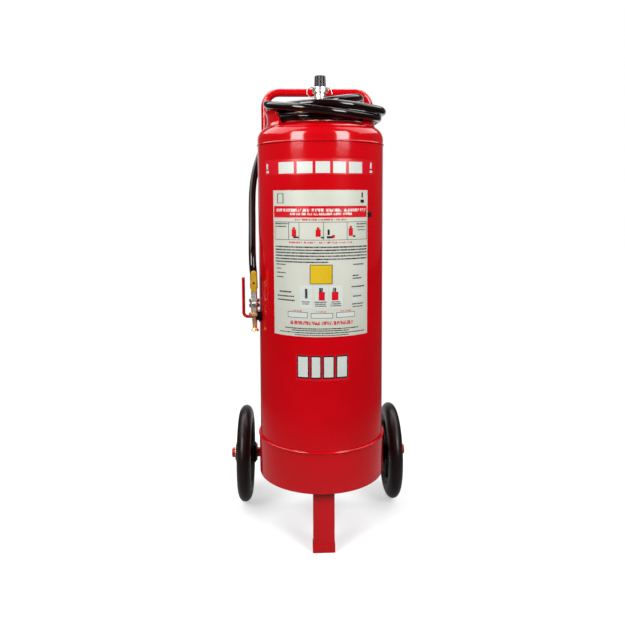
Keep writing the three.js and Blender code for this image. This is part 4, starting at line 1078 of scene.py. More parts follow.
@dataclass
class JetValve:
    """The ball valve and the jet nozzle on the hose's end, with the valve's lever."""

    tip: Spot = (-159, -42, 512)
    lean: float = 0.8
    lever_lean: float = 1.2
    centre: float = 67
    half: float = 10
    flats: float = 21.5
    nipple: float = 8
    flange_low: float = 37
    flange_high: float = 44
    flange_flats: float = 23.5
    port: float = 4
    ball: float = 6.4
    bonnet: float = 7
    bonnet_reach: float = 14
    stem_hole: float = 2.8
    gland: float = 4
    nut: float = 4
    tail: float = 41
    lever_half: float = 6.5
    lever_thick: float = 2.5
    lever_reach: float = 79
    grip_low: float = 28
    grip_half: float = 7.2
    grip_thick: float = 6

    def place(self) -> Matrix:
        """The nozzle's own axes, from its mouth up."""
        return TANK @ moved(*self.tip) @ swung(-self.lean, "Y")

    def front(self, lean: float = 0) -> Matrix:
        """Axes at the stem whose Z points to the front, leaned about the stem."""
        return self.place() @ moved(0, 0, self.centre) @ swung(lean, "Y") @ swung(90, "X")

    def up(self) -> Vector:
        """The direction of the hanging nozzle's axis."""
        return swung(-self.lean, "Y").to_3x3() @ Vector((0, 0, 1))

    def hose_end(self) -> Vector:
        """Where the hose ends inside the ferrule."""
        return Vector(self.tip) + self.up() * (self.centre + self.half + GAP + self.tail + GAP)

    def drill(self, low: float, high: float) -> Object:
        """The hole for the stem."""
        return disc("drill", self.stem_hole, low, high, self.front(), 24)

    def nozzle(self) -> None:
        """Turn the brass nozzle with its hexagonal flange."""
        place, low, high, top = self.place(), self.flange_low, self.flange_high, self.flange_high + 6
        cone = turned(
            "jet_nozzle",
            [(0, 0), (9.2, 0), (9.5, 0.5), (9.5, 1.4), (9.1, 2.1), (7.6, 3.3), (6.3, 5.0), (5.3, 7.0), (5.0, 9.0),
             (6.4, low - 3), (7.0, low - 1.2), (7.2, low + 1), (6.6, low + 2), (6.6, top), (0, top)],
            place,
        )
        bore = [(0, -2), (6, -2), (5.5, 0), (3.2, 5), (2.5, 8), (4, top), (4, top + 2), (0, top + 2)]
        joined(cone, hexagon("hex", self.flange_flats, low, high, place))
        dress(cut(cone, turned("bore", bore, place, 40)), BRASS)

    def body(self) -> None:
        """Make the valve's body, its end, the seats, the gland nut and the hose's ferrule."""
        place, front = self.place(), self.front()
        low, high = self.centre - self.half, self.centre + self.half
        cavity, roof = self.ball + 0.9, self.centre + 7.5 + GAP
        shell = joined(
            hexagon("valve_body", self.flats, low, 65.3, place),
            disc("waist", 10.1, 64, 70, place, 64),
            hexagon("upper", self.flats, 69, high, place),
            rounded(disc("bonnet", self.bonnet, 0, self.bonnet_reach, front), 0.5),
        )
        cut(
            shell,
            disc("cavity", cavity, low - 1, roof, place),
            disc("port", self.port, roof - 1, high + 1, place),
            self.drill(0, self.bonnet_reach + 2),
        )
        dress(shell, NICKEL)

        inner, outer = self.port + 0.6, cavity - GAP
        for name, start, end in (("upper", 72, 74.5), ("lower", 59.5, 62)):
            dress(ring(f"valve_seat_{name}", (inner, outer), (start, end), place), SEAT_PLASTIC)

        screw, end, bottom, r = 59.5 - GAP, low - GAP, self.flange_high + GAP, self.nipple
        mouth = [(6.9, bottom), (r - 0.6, bottom), (r, bottom + 0.6), (r, end - 0.5), (r - 0.5, end), (outer, end),
                 (outer, screw), (self.port, screw), (self.port, bottom + 6.3), (6.9, bottom + 6.3), (6.9, bottom)]
        dress(turned("valve_end", mouth, place), NICKEL)

        reach = self.bonnet_reach + GAP
        gland = hexagon("gland_nut", 12, reach, reach + self.gland, front)
        dress(cut(gland, self.drill(reach - 1, reach + self.gland + 1)), BRASS)

        wide, narrow = 9.3, 7.2
        tail = [
            (5, 0), (narrow - 0.5, 0), (narrow, 0.6), (narrow, 7), (narrow - 0.6, 8), (narrow - 0.6, 9.5),
            (narrow, 10.5), (narrow, 22.5), (narrow + 0.5, 23.4), (wide - 0.5, 24.7), (wide, 25.6), (wide, 29),
            (wide - 0.7, 30), (wide - 0.7, 31), (wide, 32), (wide, 35), (wide - 0.7, 36), (wide - 0.7, 37),
            (wide, 38), (wide, 40), (wide - 0.6, self.tail), (5, self.tail), (5, 0),
        ]
        dress(turned("tail_ferrule", tail, place @ moved(0, 0, high + GAP)), NICKEL)

    def ball_and_stem(self) -> None:
        """Make the ball with its bore and slot, and the stem with its tongue."""
        front, middle = self.front(), self.place() @ moved(0, 0, self.centre)
        ball = turned("valve_ball", [(abs(r), z) for r, z in arc(0, 0, self.ball, -90, 90, 24)], middle, 48)
        slot = block("slot", (-1.5, -3.2, self.ball - 2), (1.5, 3.2, 10), front)
        dress(cut(ball, disc("bore", self.port, -10, 10, middle), slot), HEAD_STEEL, Body.LEVER)
        end = self.lever_back() + self.lever_thick + self.nut + 2
        stem = joined(
            rounded(disc("valve_stem", 2.5, self.ball + GAP, end, front, 32), 0.4),
            block("tongue", (-1.1, -2, self.ball - 1.6), (1.1, 2, self.ball + 0.6), front),
        )
        dress(stem, HEAD_STEEL, Body.LEVER)

    def lever_back(self) -> float:
        """How far in front of the valve's axis the lever lies."""
        return self.bonnet_reach + self.gland + 3 * GAP

    def lever(self) -> None:
        """Make the lever's blade, its dipped grip and the nut that holds it."""
        front, back = self.front(self.lever_lean), self.lever_back()
        face, tip = back + self.lever_thick, self.lever_reach - 6
        half, neck = self.lever_half, self.lever_half - 2
        outline = [*arc(0, 0, half, 180, 360, 16), (neck, 14), (neck, tip), (-neck, tip), (-neck, 14)]
        blade = plate("valve_lever", outline, self.lever_thick, front @ moved(0, 0, back))
        hole = disc("hole", self.stem_hole, back - 1, face + 1, front, 24)
        dress(rounded(cut(blade, hole), 0.3), LEVER_STEEL, Body.LEVER)

        wide, low, top = self.grip_half, self.grip_low, self.lever_reach - self.grip_half
        sleeve = [(1 - wide, low), (wide - 1, low), (wide, low + 10), *arc(0, top, wide, 0, 180, 20),
                  (-wide, low + 10)]
        middle, bottom, eye = back + self.lever_thick / 2, face + 0.4, front @ moved(0, low + 22, 0)
        grip = plate("lever_grip", sleeve, self.grip_thick, front @ moved(0, 0, middle - self.grip_thick / 2))
        rounded(grip, 2.2, 4, 50)
        slot = block("slot", (-neck - GAP, low - 1, back - GAP), (neck + GAP, tip + GAP, face + GAP), front)
        dress(cut(grip, slot, disc("eye", 2.4, bottom, middle + 5, eye, 32)), GRIP, Body.LEVER)
        # A black disc at the bottom of the grip's eye: painted shade in the hole.
        eye_shade_disc = disc("grip_eye_liner", 2.3, bottom + 0.02, bottom + 0.3, eye, 32)
        dress(eye_shade_disc, BLACK_PLASTIC, Body.LEVER, stands=False)

        start, end = face + GAP, face + GAP + self.nut
        nut = hexagon("lever_nut", 9, start, end, self.front())
        dress(cut(nut, self.drill(start - 1, end + 1)), HEAD_STEEL, Body.LEVER)

    def build(self) -> None:
        """Build the valve, the nozzle and the lever."""
        self.nozzle()
        self.body()
        self.ball_and_stem()
        self.lever()


@dataclass
class NozzleHook:
    """The bent rod that the nozzle hangs on, its pad and the rest block."""

    tank: float = 150
    radius: float = 3.7
    out: float = 186
    top: float = 639
    bend: float = 10
    rod_y: float = -31.1
    rod_z: float = 544.4
    pad_half: float = 13
    pad_length: float = 30
    pad_thick: float = 3
    rest_heights: Pair = (539, 559.5)

    def build(self, valve: JetValve) -> None:
        """Build the hook round the hanging nozzle.

        Args:
            valve: The valve and nozzle that hang on it.
        """
        inside, pad_out = self.tank + GAP, self.tank + GAP + self.pad_thick
        y, z = self.rod_y, self.rod_z
        inner = -math.sqrt((pad_out + GAP) ** 2 - (abs(y) - self.radius) ** 2) - GAP
        rod = bent("nozzle_hook", [(inner, y, z), (-self.out, y, z), (-self.out, y, self.top)], self.bend,
                   self.radius)
        dress(rounded(rod, 0.8, 3), RED)

        front = y - self.radius
        low, high = z - self.pad_half, z + self.pad_half
        pad = ring("hook_pad", (inside, pad_out), (low, high), sides=160)
        window = block("window", (-pad_out - 5, front, low - 1), (-100, front + self.pad_length, high + 1))
        dress(rounded(combine(pad, "INTERSECT", window), 0.7), RED)

        low, high = self.rest_heights
        rest = block("nozzle_rest", (-153, valve.tip[1] - 11, low), (-110, front - GAP, high))
        middle = Vector(valve.tip) + valve.up() * (valve.flange_low + valve.flange_high) / 2
        corner = valve.flange_flats / math.sqrt(3) + GAP
        half = (valve.flange_high - valve.flange_low) / 2 + GAP
        cut(
            rest,
            disc("round", inside, low - 5, high + 5, TANK, 160),
            disc("shaft", valve.nipple + GAP, low - 5, high + 5, TANK @ moved(middle.x, middle.y, 0)),
            disc("notch", corner, -half, half, TANK @ moved(*middle)),
        )
        dress(rounded(rest, 0.3, 1), BLACK_PLASTIC)


# ---------------------------------------------------------------- tank


@dataclass
class Tank:
    """The welded vessel: shell, dished ends and the skirt round its foot."""

    radius: float = 150
    wall: float = 3
    low: float = 236
    seam: float = 948
    bead: float = 2
    crown: float = 300
    knuckle: float = 30
    top_flange: float = 14
    bottom_flange: float = 8
    neck_hole: float = 38.3
    skirt_wall: float = 2.4
    skirt_low: float = 155
    skirt_high: float = 254
    skirt_bead: float = 2.6
    sides: int = 160

    def dished(self, grow: float, tangent: float, down: bool) -> list[Pair]:
        """The profile of a dished end.

        Args:
            grow: How far outside the tank's own surface it lies.
            tangent: Height of its tangent line.
            down: Whether it bulges downwards.

        Returns:
            Its points from the tangent line to the axis.
        """
        outside, crown, knuckle = self.radius + grow, self.crown + grow, self.knuckle + grow
        centre = outside - knuckle
        turn = math.degrees(math.asin(centre / (crown - knuckle)))
        depth = crown - math.sqrt((crown - knuckle) ** 2 - centre**2)
        points = arc(centre, 0, knuckle, 0, 90 - turn, 8) + arc(0, depth - crown, crown, 90 - turn, 90, 12)[1:]
        sign = -1 if down else 1
        return [(r if r > 1e-6 else 0.0, tangent + sign * z) for r, z in points]

    def crown_height(self, distance: float) -> float:
        """Height of the top end's outside at a distance from the axis."""
        centre = self.radius - self.knuckle
        depth = self.crown - math.sqrt((self.crown - self.knuckle) ** 2 - centre**2)
        middle = self.seam + GAP + self.top_flange + depth - self.crown
        return middle + math.sqrt(self.crown**2 - distance**2)

    def build(self, outlet: Outlet) -> None:
        """Build the vessel and its skirt.

        Args:
            outlet: The outlet whose hole the top end has.
        """
        r, inside, sides = self.radius, self.radius - self.wall, self.sides
        dress(ring("tank_shell", (inside, r), (self.low, self.seam), sides=sides), RED)

        base = self.seam + GAP
        outer, inner = (self.dished(grow, base + self.top_flange, False) for grow in (0, -self.wall))
        lip = [(r, base), *arc(r, base + 2.2, self.bead, -80, 80, 8), (r, base + 4.8)]
        dome = turned("top_dome", [*reversed(inner), (inside, base), *lip, *outer], sides=sides)
        x, y, _ = around(outlet.angle, outlet.distance, 0)
        cut(
            dome,
            disc("neck", self.neck_hole, base, 1040),
            disc("outlet", outlet.boss_radius + GAP, base, 1040, TANK @ moved(x, y, 0)),
        )
        dress(dome, RED)

        rim = self.low - GAP
        outer, inner = (self.dished(grow, rim - self.bottom_flange, True) for grow in (0, -self.wall))
        dress(turned("bottom_dome", [*reversed(outer), (r, rim), (inside, rim), *inner], sides=sides), RED)

        near, far, low = r + GAP, r + GAP + self.skirt_wall, self.skirt_low
        roll = arc(far, self.skirt_high - self.skirt_bead, self.skirt_bead, -80, 90, 12)
        foot = [(near - 0.7, low + 0.3), (near, low), (far - 1.2, low), (far - 0.4, low + 0.5), (far, low + 1.6)]
        top = [(near, self.skirt_high), (near, low + 3), foot[0]]
        dress(turned("skirt", [*foot, *roll, *top], sides=sides), RED)


@dataclass
class HoseGuards:
    """The two flared sheets on the shoulder that keep the hose in."""

    radius: float = 127
    wall: float = 3
    rim: float = 1027
    lip: float = 5
    flare: float = 14
    foot: float = 4
    half_top: float = 71
    half_foot: float = 88

    def build(self, tank: Tank) -> None:
        """Build both guards.

        Args:
            tank: The tank whose shoulder they stand on.
        """
        inside, out, rim = self.radius - self.wall, self.radius, self.rim
        start, lip = rim - self.flare, out + self.lip
        heel, foot, spread = (tank.crown_height(r) + GAP for r in (inside, out, out + self.foot))
        profile = [
            (inside, heel), (out, foot), (out + self.foot, spread), (out + self.foot, spread + 1),
            (out + 2, foot + 3.2), (out + 0.7, foot + 6), (out, foot + 10), (out, start), (out + 0.4, start + 3),
            (out + 1.4, start + 0.55 * self.flare), (lip, rim - 0.9), (lip - 0.3, rim - 0.3), (lip - 0.9, rim),
            (lip - 1.9, rim - 0.2), (inside + 1.5, start + 0.6 * self.flare), (inside + 0.4, start + 3.4),
            (inside, start), (inside, heel),
        ]
        low, high = spread - 4, rim + 1
        outline = [(-self.half_foot, low), (self.half_foot, low), (self.half_top, high), (-self.half_top, high)]
        for name, side in (("right", 1), ("left", -1)):
            window = plate("window", outline, side * 200, TANK @ swung(90, "Z") @ swung(90, "X"))
            guard = combine(turned(f"hose_guard_{name}", profile, sides=160), "INTERSECT", window)
            dress(rounded(guard, 0.5, 2, 50), RED)


def row(low: float, high: float, *edges: float) -> tuple[Mark, ...]:
    """Marks of one height beside each other, from their left and right edges in turn."""
    return tuple((left, right, low, high) for left, right in zip(edges[::2], edges[1::2]))


def column(left: float, right: float, *edges: float) -> tuple[Mark, ...]:
    """Marks of one width above each other, from their lower and upper edges in turn."""
    return tuple((left, right, low, high) for low, high in zip(edges[::2], edges[1::2]))


@dataclass
class Label:
    """The satin sheet on the front and the marks printed on it and on the tank, none of them lettering.

    A mark is its left and right edge in degrees from the front, and its lower and upper edge.
    """

    sheet: Mark = (-47.5, 42, 518, 843)
    sheet_steps: int = 60
    radius: float = 150.1
    layer: float = 0.12
    step: float = 2.25
    prints: tuple[tuple[str, Finish, int, tuple[Mark, ...]], ...] = (
        ("upper_band", RED_INK, 0, row(877, 911, -59.5, 53)),
        ("upper_blocks", WHITE_INK, 1, (
            *row(880, 905, -40.7, -25.5, -22.7, -9.2, -6.6, 5.4, 8, 19.2, 22, 35.4),
            (-57, -54.6, 891, 903), (-57.4, -53.4, 882, 887), (45.4, 47.6, 891, 905), (44.8, 48.6, 882, 887),
        )),
        ("lower_band", RED_INK, 0, row(417, 477, -25, 22.2)),
        ("lower_edges", BLACK_INK, 1, row(423, 475, -23.6, -13, -11.6, -2.4, -1, 9, 10.4, 21.2)),
        ("lower_blocks", WHITE_INK, 2, row(426, 472, -22.6, -14, -10.6, -3.4, 0, 8, 11.4, 20.2)),
        ("red_band", RED_INK, 1, row(783, 808.5, -46.6, 41)),
        ("band_lines", WHITE_LINES, 2, ((-44.4, 39.5, 796, 802.5), (-29.5, 25, 788.5, 793.5))),
        ("red_lines", RED_LINES, 1, (
            (-24.7, 20, 776.7, 780.4), (-30.6, 25, 726.3, 730), (-29.7, 25.6, 544.8, 553),
            (-27.6, -18.8, 574.2, 577.6), (-6.4, 2.2, 573.2, 576.4), (14.4, 24.2, 573.8, 577.2),
        )),
        ("grey_lines", GREY_LINES, 1, (
            *column(-45.4, 41, 716.4, 719.6, 709.8, 713), (-45, 41, 703.4, 706.5),
            *column(-45.1, 41, 696.7, 699.8, 690, 693), (-45.2, 3.8, 683.4, 686.4),
            (-44, -34, 677, 679.6), (-44, -38.6, 668, 670.4), (-44, -34, 658.6, 661), (-44, -36.4, 649, 651.4),
            (-41, -28.6, 615.6, 619), (-43, -26, 606, 609), (-43.2, -25.4, 597, 600),
            (26, 37.4, 677, 679.6), (25.6, 32, 652, 654.6), (25.6, 35, 646, 648.4), (24.6, 38, 627, 629.6),
            (26, 34.6, 605.6, 608), (25.2, 37, 588, 590.4), (25.6, 36, 582, 584),
            (-34.9, 31.6, 535, 537.4), (-28.5, 22.2, 530.6, 532.8), (-41.2, 38.4, 525.4, 527.6),
            (-25.5, 22.2, 520.6, 522.4), (-44.8, -31.4, 768, 770.6), (-44.8, -33, 762, 764.4),
            (29.4, 40, 767, 769.6), (29.4, 38.4, 760.8, 763.2), (31, 39, 754, 756),
        )),
        ("black_frames", BLACK_INK, 1, (
            *column(-45.6, 41, 733.4, 734.4, 772.6, 773.6),
            *row(733.4, 773.6, -45.9, -45.5, -31, -30.5, -21.2, -20.8, -0.4, 0, 20.1, 20.5, 40.8, 41.2),
            (42, 48, 782.6, 794), (-26.4, -21.4, 737.6, 741.4), (-2.4, 0.4, 737.6, 741),
            (2.6, 7.2, 737.6, 742.6), (3.2, 5, 745, 757), (26, 28.4, 739.4, 743), (-11.9, 7.4, 636.4, 679.6),
            (-16.4, -13.6, 604, 626), *row(618, 628, -4, -1, 7.6, 10.4),
            (-32.1, -14, 560, 573.4), (-11.1, 7.6, 560, 571.4), (10.6, 27.9, 560.6, 572.6),
            *row(815, 836, -42.6, -41.8, -36.6, -35.8), *column(-42.6, -35.8, 835, 836.2, 814.6, 815.8),
            (34.8, 36.4, 827, 838), (33.8, 37.6, 815, 822),
        )),
        ("red_marks", RED_INK, 2, (
            (-27.8, -23.6, 741, 757), (-27, -24.6, 757, 762), (-6.8, -2.6, 741, 757), (-5.8, -3.6, 757, 762),
            (7, 9.4, 738, 745), (21.8, 25.8, 742, 759), (22.8, 24.8, 759, 764.6),
            *row(600, 619, -4.4, 0.8, 6.6, 12.4),
        )),
        ("yellow_patch", YELLOW_INK, 2, row(637.8, 678.2, -11.3, 6.8)),
        ("white_fields", WHITE_INK, 1, (
            *row(583, 633, -20.6, -9.6, -8.6, 3.8, 4.8, 16.2), (26, 39, 664.8, 673.4),
            (25.6, 35, 635, 642.8), (25, 38.3, 613.6, 621.8), (25.6, 36.4, 594.8, 602.6),
        )),
        ("captions", GREY_LINES, 2, (
            (-19.2, -12, 595.4, 597.6), (-18.6, -12.6, 590.8, 593), (-8, 2.6, 595.2, 597.4),
            (-7.6, 1.6, 590.8, 593), (-7.8, 2.2, 586.6, 588.6), (6, 14, 595.2, 597.4),
            (5.6, 14.6, 590.8, 593), (5.4, 15.4, 586.6, 588.6),
        )),
        ("white_boxes", WHITE_INK, 2,
         ((-31.7, -14.4, 561, 572.4), (-10.7, 7.2, 561, 570.4), (11, 27.5, 561.6, 571.6))),
    )

    def wrap(self, mark: Mark, radii: Pair, steps: int) -> None:
        """Spin one thin sheet part of the way round the tank, in the mesh that is being edited.

        Args:
            mark: Its edges.
            radii: Its inner and outer radius.
            steps: How many steps the spin takes.
        """
        start, end, low, high = mark
        a = math.radians(start - 90)
        draw([(r * math.cos(a), r * math.sin(a), z) for r, z in band(*radii, low, high)])
        bpy.ops.mesh.select_linked()
        bpy.ops.mesh.remove_doubles(threshold=MERGE)
        bpy.ops.mesh.spin(steps=steps, angle=-math.radians(end - start), center=(0, 0, 0), axis=(0, 0, 1))

    def build(self) -> None:
        """Build the sheet and everything that is printed."""
        sheet = begin("front_label")
        top = self.radius + self.layer
        self.wrap(self.sheet, (self.radius, top), self.sheet_steps)
        dress(closed(sheet), SHEET)
        for name, ink, layer, marks in self.prints:
            group = begin(f"print_{name}")
            near = top + layer * self.layer / 2
            for i, mark in enumerate(marks):
                if i:
                    pick("DESELECT")
                    plane()
                steps = max(1, math.ceil((mark[1] - mark[0]) / self.step))
                self.wrap(mark, (near, near + self.layer / 2), steps)
            dress(closed(group), ink, stands=False)


# ---------------------------------------------------------------- filling neck and head


@dataclass
class FillingHead:
    """The neck, its ring nut and the head with the strike knob, the clip and the gas cartridge."""

    neck_low: float = 1006.01
    neck_base: float = 1020.6
    neck_top: float = 1036.0
    neck_bore: float = 30
    neck_spigot: float = 38
    neck_flange: float = 44
    gasket: float = 3
    gasket_bore: float = 31
    head_flange: float = 41
    flange: float = 7
    spigot: float = 26
    stem: float = 14
    floor: float = 1053.0
    cup: float = 18.5
    cup_bore: float = 14.7
    cup_low: float = 1075.0
    cup_high: float = 1088.0
    cup_depth: float = 9.5
    pin_drop: float = 8
    nut: float = 52
    lugs: int = 6
    knob: float = 13.8
    knob_high: float = 1115.0
    rib_depth: float = 0.8
    ribs: int = 20
    rod: float = 4
    spring_radius: float = 6
    spring_wire: float = 0.8
    spring_turns: int = 5
    wire: float = 1
    ring: float = 11.5
    ring_x: float = -19.5
    ring_sides: int = 48
    cartridge: float = 24
    cartridge_length: float = 250

    def base(self) -> float:
        """Height of the head's flange where it lies on the gasket."""
        return self.neck_top + self.gasket + 2 * GAP

    def neck(self) -> None:
        """Build the neck ring and its gasket."""
        bore, spigot, flange = self.neck_bore, self.neck_spigot, self.neck_flange
        low, base, top = self.neck_low, self.neck_base, self.neck_top
        profile = [(bore, low), (spigot, low), (spigot, base), (flange, base), (flange, top), (bore, top), (bore, low)]
        dress(rounded(turned("neck_ring", profile, sides=96), 0.6), RED)
        low = top + GAP
        gasket = ring("neck_gasket", (self.gasket_bore, self.head_flange), (low, low + self.gasket), sides=96)
        dress(rounded(gasket, 0.5), HOSE_RUBBER)

    def head(self) -> None:
        """Turn the head with its cup and drill the hole for the clip's pin."""
        base = self.base()
        foot, flange, high = base - self.spigot, base + self.flange, self.cup_high
        hole, stem, cup, bore, rim = self.rod + GAP, self.stem, self.cup, self.cup_bore, self.head_flange
        profile = [
            (hole, foot), (11.2, foot), (12, base - 25.2), (12, base), (rim, base), (rim, flange - 0.8),
            (rim - 0.8, flange), (stem + 1.2, flange), (stem + 0.3, flange + 0.4), (stem, flange + 1.3),
            (stem, self.cup_low - 0.6), (stem + 0.3, self.cup_low), (cup - 0.9, self.cup_low),
            (cup - 0.25, self.cup_low + 0.25), (cup, self.cup_low + 0.9), (cup, high - 1.2),
            (cup - 0.3, high - 0.4), (cup - 1.1, high), (bore + 0.4, high), (bore, high - 0.4),
            (bore, high - self.cup_depth), (8, high - self.cup_depth), (8, self.floor), (hole, self.floor),
            (hole, foot),
        ]
        pin = disc("pin", self.wire + GAP, -cup - 2, 2 - bore, self.across(), 24)
        dress(cut(turned("valve_head", profile, sides=96), pin), HEAD_STEEL, Body.HEAD)

    def across(self) -> Matrix:
        """Axes at the pin's height whose Z points to the front."""
        return TANK @ moved(0, 0, self.cup_high - self.pin_drop) @ swung(90, "X")

    def ring_nut(self) -> None:
        """Build the lugged ring nut."""
        low, seat = self.base() - 15, self.base() + self.flange + GAP
        high, bore, rim, neck = seat + 5, self.neck_flange + GAP, self.nut - 4, self.stem + 5
        profile = [(bore, low), (rim, low), (rim, high - 2), (rim - 2, high), (neck, high), (neck, seat),
                   (bore, seat), (bore, low)]
        lugs = [
            block("lug", (self.nut - 5.5, -7, low + 3), (self.nut, 7, high - 3), TANK @ swung(360 / self.lugs * i, "Z"))
            for i in range(self.lugs)
        ]
        dress(rounded(joined(turned("cap_nut", profile, sides=96), *lugs), 0.7), BRASS, Body.CAP_NUT)

    def strike_knob(self) -> None:
        """Build the ribbed knob and its rod."""
        low, high = self.cup_high + 1.2, self.knob_high
        corners = 4 * self.ribs
        outline = []
        for i in range(corners):
            a, r = TAU * i / corners, self.knob - (0 if i % 4 < 2 else self.rib_depth)
            outline.append((r * math.cos(a), r * math.sin(a)))
        knob = filled("strike_knob", outline)
        height, before = high - low, 0.0
        for level, shrink in ((height - 3, 0.942), (height - 1.2, 0.985), (height - 0.3, 0.93), (height, 0.86)):
            push((0, 0, level - before))
            bpy.ops.transform.resize(value=(shrink, shrink, 1), center_override=(0, 0, level * MM))
            before = level
        closed(knob, TANK @ moved(0, 0, low))
        drill = disc("drill", self.rod + GAP, low - 1, low + 12, TANK, 32)
        dress(cut(knob, drill), BLACK_PLASTIC, Body.PLUNGER, 40)

        r, tip, end, shoulder = self.rod, self.neck_top - 28, low + 11.5, self.cup_high - self.cup_depth
        profile = [(0, tip), (1.2, tip), (r, tip + 8), (r, shoulder), (7.4, shoulder), (7.4, shoulder + 3),
                   (r, shoulder + 3), (r, end), (0, end)]
        dress(rounded(turned("strike_rod", profile, sides=40), 0.25), HEAD_STEEL, Body.PLUNGER)

    def spring(self) -> None:
        """Wind the return spring between the head and the knob's rod."""
        wire, turns = self.spring_wire, self.spring_turns
        rise = self.cup_high - self.cup_depth - self.floor - 2 * GAP - 2 * wire
        foot = self.floor + GAP + wire
        deselect()
        bpy.ops.mesh.primitive_circle_add(vertices=10, radius=wire * MM, location=(self.spring_radius * MM, 0, 0),
                                          rotation=(math.pi / 2, 0, 0))
        spring = named("strike_spring")
        bake()
        apply_modifier(spring, "SCREW", angle=TAU, screw_offset=rise * MM / turns, iterations=turns, steps=24,
                       render_steps=24, use_merge_vertices=True)
        edit()
        dress(closed(spring, TANK @ moved(0, 0, foot)), WIRE_STEEL, None, 60)
        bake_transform(spring)

    def clip(self) -> None:
        """Bend the safety clip: a pull ring, a springy tail and a pin."""
        height, y = self.cup_high - self.pin_drop, self.cup + GAP + self.wire
        corners = [(30, y, height - 4), (28, y, height + 4), (23.5, y, height + 15), (19, y, height),
                   (self.ring_x + self.ring - 0.3, y, height)]
        loop = [(self.ring + x, z) for x, z in arc(0, 0, self.wire, 0, 360, 12)]
        place = TANK @ moved(self.ring_x, y, height) @ swung(90, "X") @ swung(180 / self.ring_sides, "Z")
        clip = joined(
            bent("safety_clip", corners, 1.9, self.wire, sides=12),
            turned("loop", loop, place, self.ring_sides),
            disc("pin", 0.93 * self.wire, -y - 0.3, -self.cup_bore - GAP, self.across(), 16),
        )
        dress(clip, WIRE_STEEL, Body.CLIP, 50)

    def gas(self) -> None:
        """Turn the cartridge and its holder, which hang inside the tank."""
        top = self.base() - self.spigot - GAP
        bore, r = 9 + GAP, self.cartridge
        wide, near = r + GAP, 12 + GAP
        holder = [
            (bore, top - 8), (bore + 0.4, top - 34), (wide, top - 34), (wide, top - 54), (wide + 2.5, top - 54),
            (wide + 2.5, top - 28), (near + 2.5, top - 6), (near + 2.5, top + 16), (near, top + 16),
            (near, top - 8), (bore, top - 8),
        ]
        dress(rounded(turned("cartridge_holder", holder, sides=80), 0.5), BRASS, Body.HEAD)
        neck, shoulder = top - 10, top - 34 - GAP
        foot = shoulder - self.cartridge_length
        bulb = [
            (0, foot), (r - 10, foot), *arc(r - 10, foot + 10, 10, -70, 0, 6), (r, shoulder - 12),
            (r - 2, shoulder - 8), (r - 9, shoulder - 2.4), (9, shoulder - 1), (9, neck), (5, neck),
            (5, neck - 6), (0, neck - 6),
        ]
        dress(turned("gas_cartridge", bulb, sides=80), GREY_STEEL, Body.HEAD)

    def build(self) -> None:
        """Build everything on the neck."""
        self.neck()
        self.head()
        self.ring_nut()
        self.strike_knob()
        self.spring()
        self.clip()
        self.gas()


# ---------------------------------------------------------------- frame, axle and leg


@dataclass
class HandleFrame:
    """The bent tube behind the tank with its two straps, the axle and the axle's brackets."""

    half: float = 137.5
    back: float = 165.1
    top: float = 1103
    bend: float = 37
    tube: float = 10.5
    strap_half: float = 142
    strap_low: float = 150.3
    strap_thick: float = 4
    strap_height: float = 38
    strap_heights: tuple[tuple[str, float], ...] = (("upper", 868), ("lower", 300))
    axle_radius: float = 12.5
    axle_height: float = 128.5
    spindle: float = 9
    shoulder: float = 168.9
    end: float = 236.3
    bracket_x: float = 62
    bracket_thick: float = 6
    bracket_low: float = 161
    bracket_top: float = 232
    bracket_rim: float = 6
    skirt: float = 153

    def frame(self) -> None:
        """Bend the tube and set the straps behind the tank."""
        foot = self.axle_height + self.axle_radius + GAP
        corners = [(x, self.back, z) for x, z in ((-self.half, foot), (-self.half, self.top),
                                                  (self.half, self.top), (self.half, foot))]
        dress(bent("handle_frame", corners, self.bend, self.tube, sides=40), RED, smooth=40)
        for name, low in self.strap_heights:
            strap = block(f"frame_strap_{name}", (-self.strap_half, self.strap_low, low),
                          (self.strap_half, self.strap_low + self.strap_thick, low + self.strap_height))
            dress(rounded(strap, 0.8), RED)

    def across(self) -> Matrix:
        """Axes whose Z is the axle, towards the right."""
        return TANK @ moved(0, self.back, self.axle_height) @ swung(90, "Y")

    def brackets(self) -> None:
        """Cut the two plates that carry the axle."""
        half, height, rim = self.bracket_thick / 2, self.axle_height, self.axle_radius + self.bracket_rim
        near = math.sqrt(self.skirt**2 - (self.bracket_x - half) ** 2) + GAP
        outline = [(near, self.bracket_low), (near, self.bracket_top), (near + 8, self.bracket_top),
                   (self.back + rim, height + 22), *arc(self.back, height, rim, 0, -180, 24)]
        for name, x in (("left", -self.bracket_x), ("right", self.bracket_x)):
            upright = TANK @ moved(x - half, 0, 0) @ swung(90, "Z") @ swung(90, "X")
            sheet = plate(f"axle_bracket_{name}", outline, self.bracket_thick, upright)
            cut(sheet, disc("hole", self.axle_radius + GAP, x - 20, x + 20, self.across()))
            dress(rounded(sheet, 0.7), RED)

    def axle(self) -> None:
        """Turn the axle with its two spindles."""
        r, s, end, step = self.axle_radius, self.spindle, self.end, self.shoulder
        profile = [(0, -end), (s, -end), (s, -step), (r, -step), (r, step), (s, step), (s, end), (0, end)]
        dress(rounded(turned("axle", profile, self.across()), 0.5), RED)

    def build(self) -> None:
        """Build the frame, the brackets and the axle."""
        self.frame()
        self.brackets()
        self.axle()


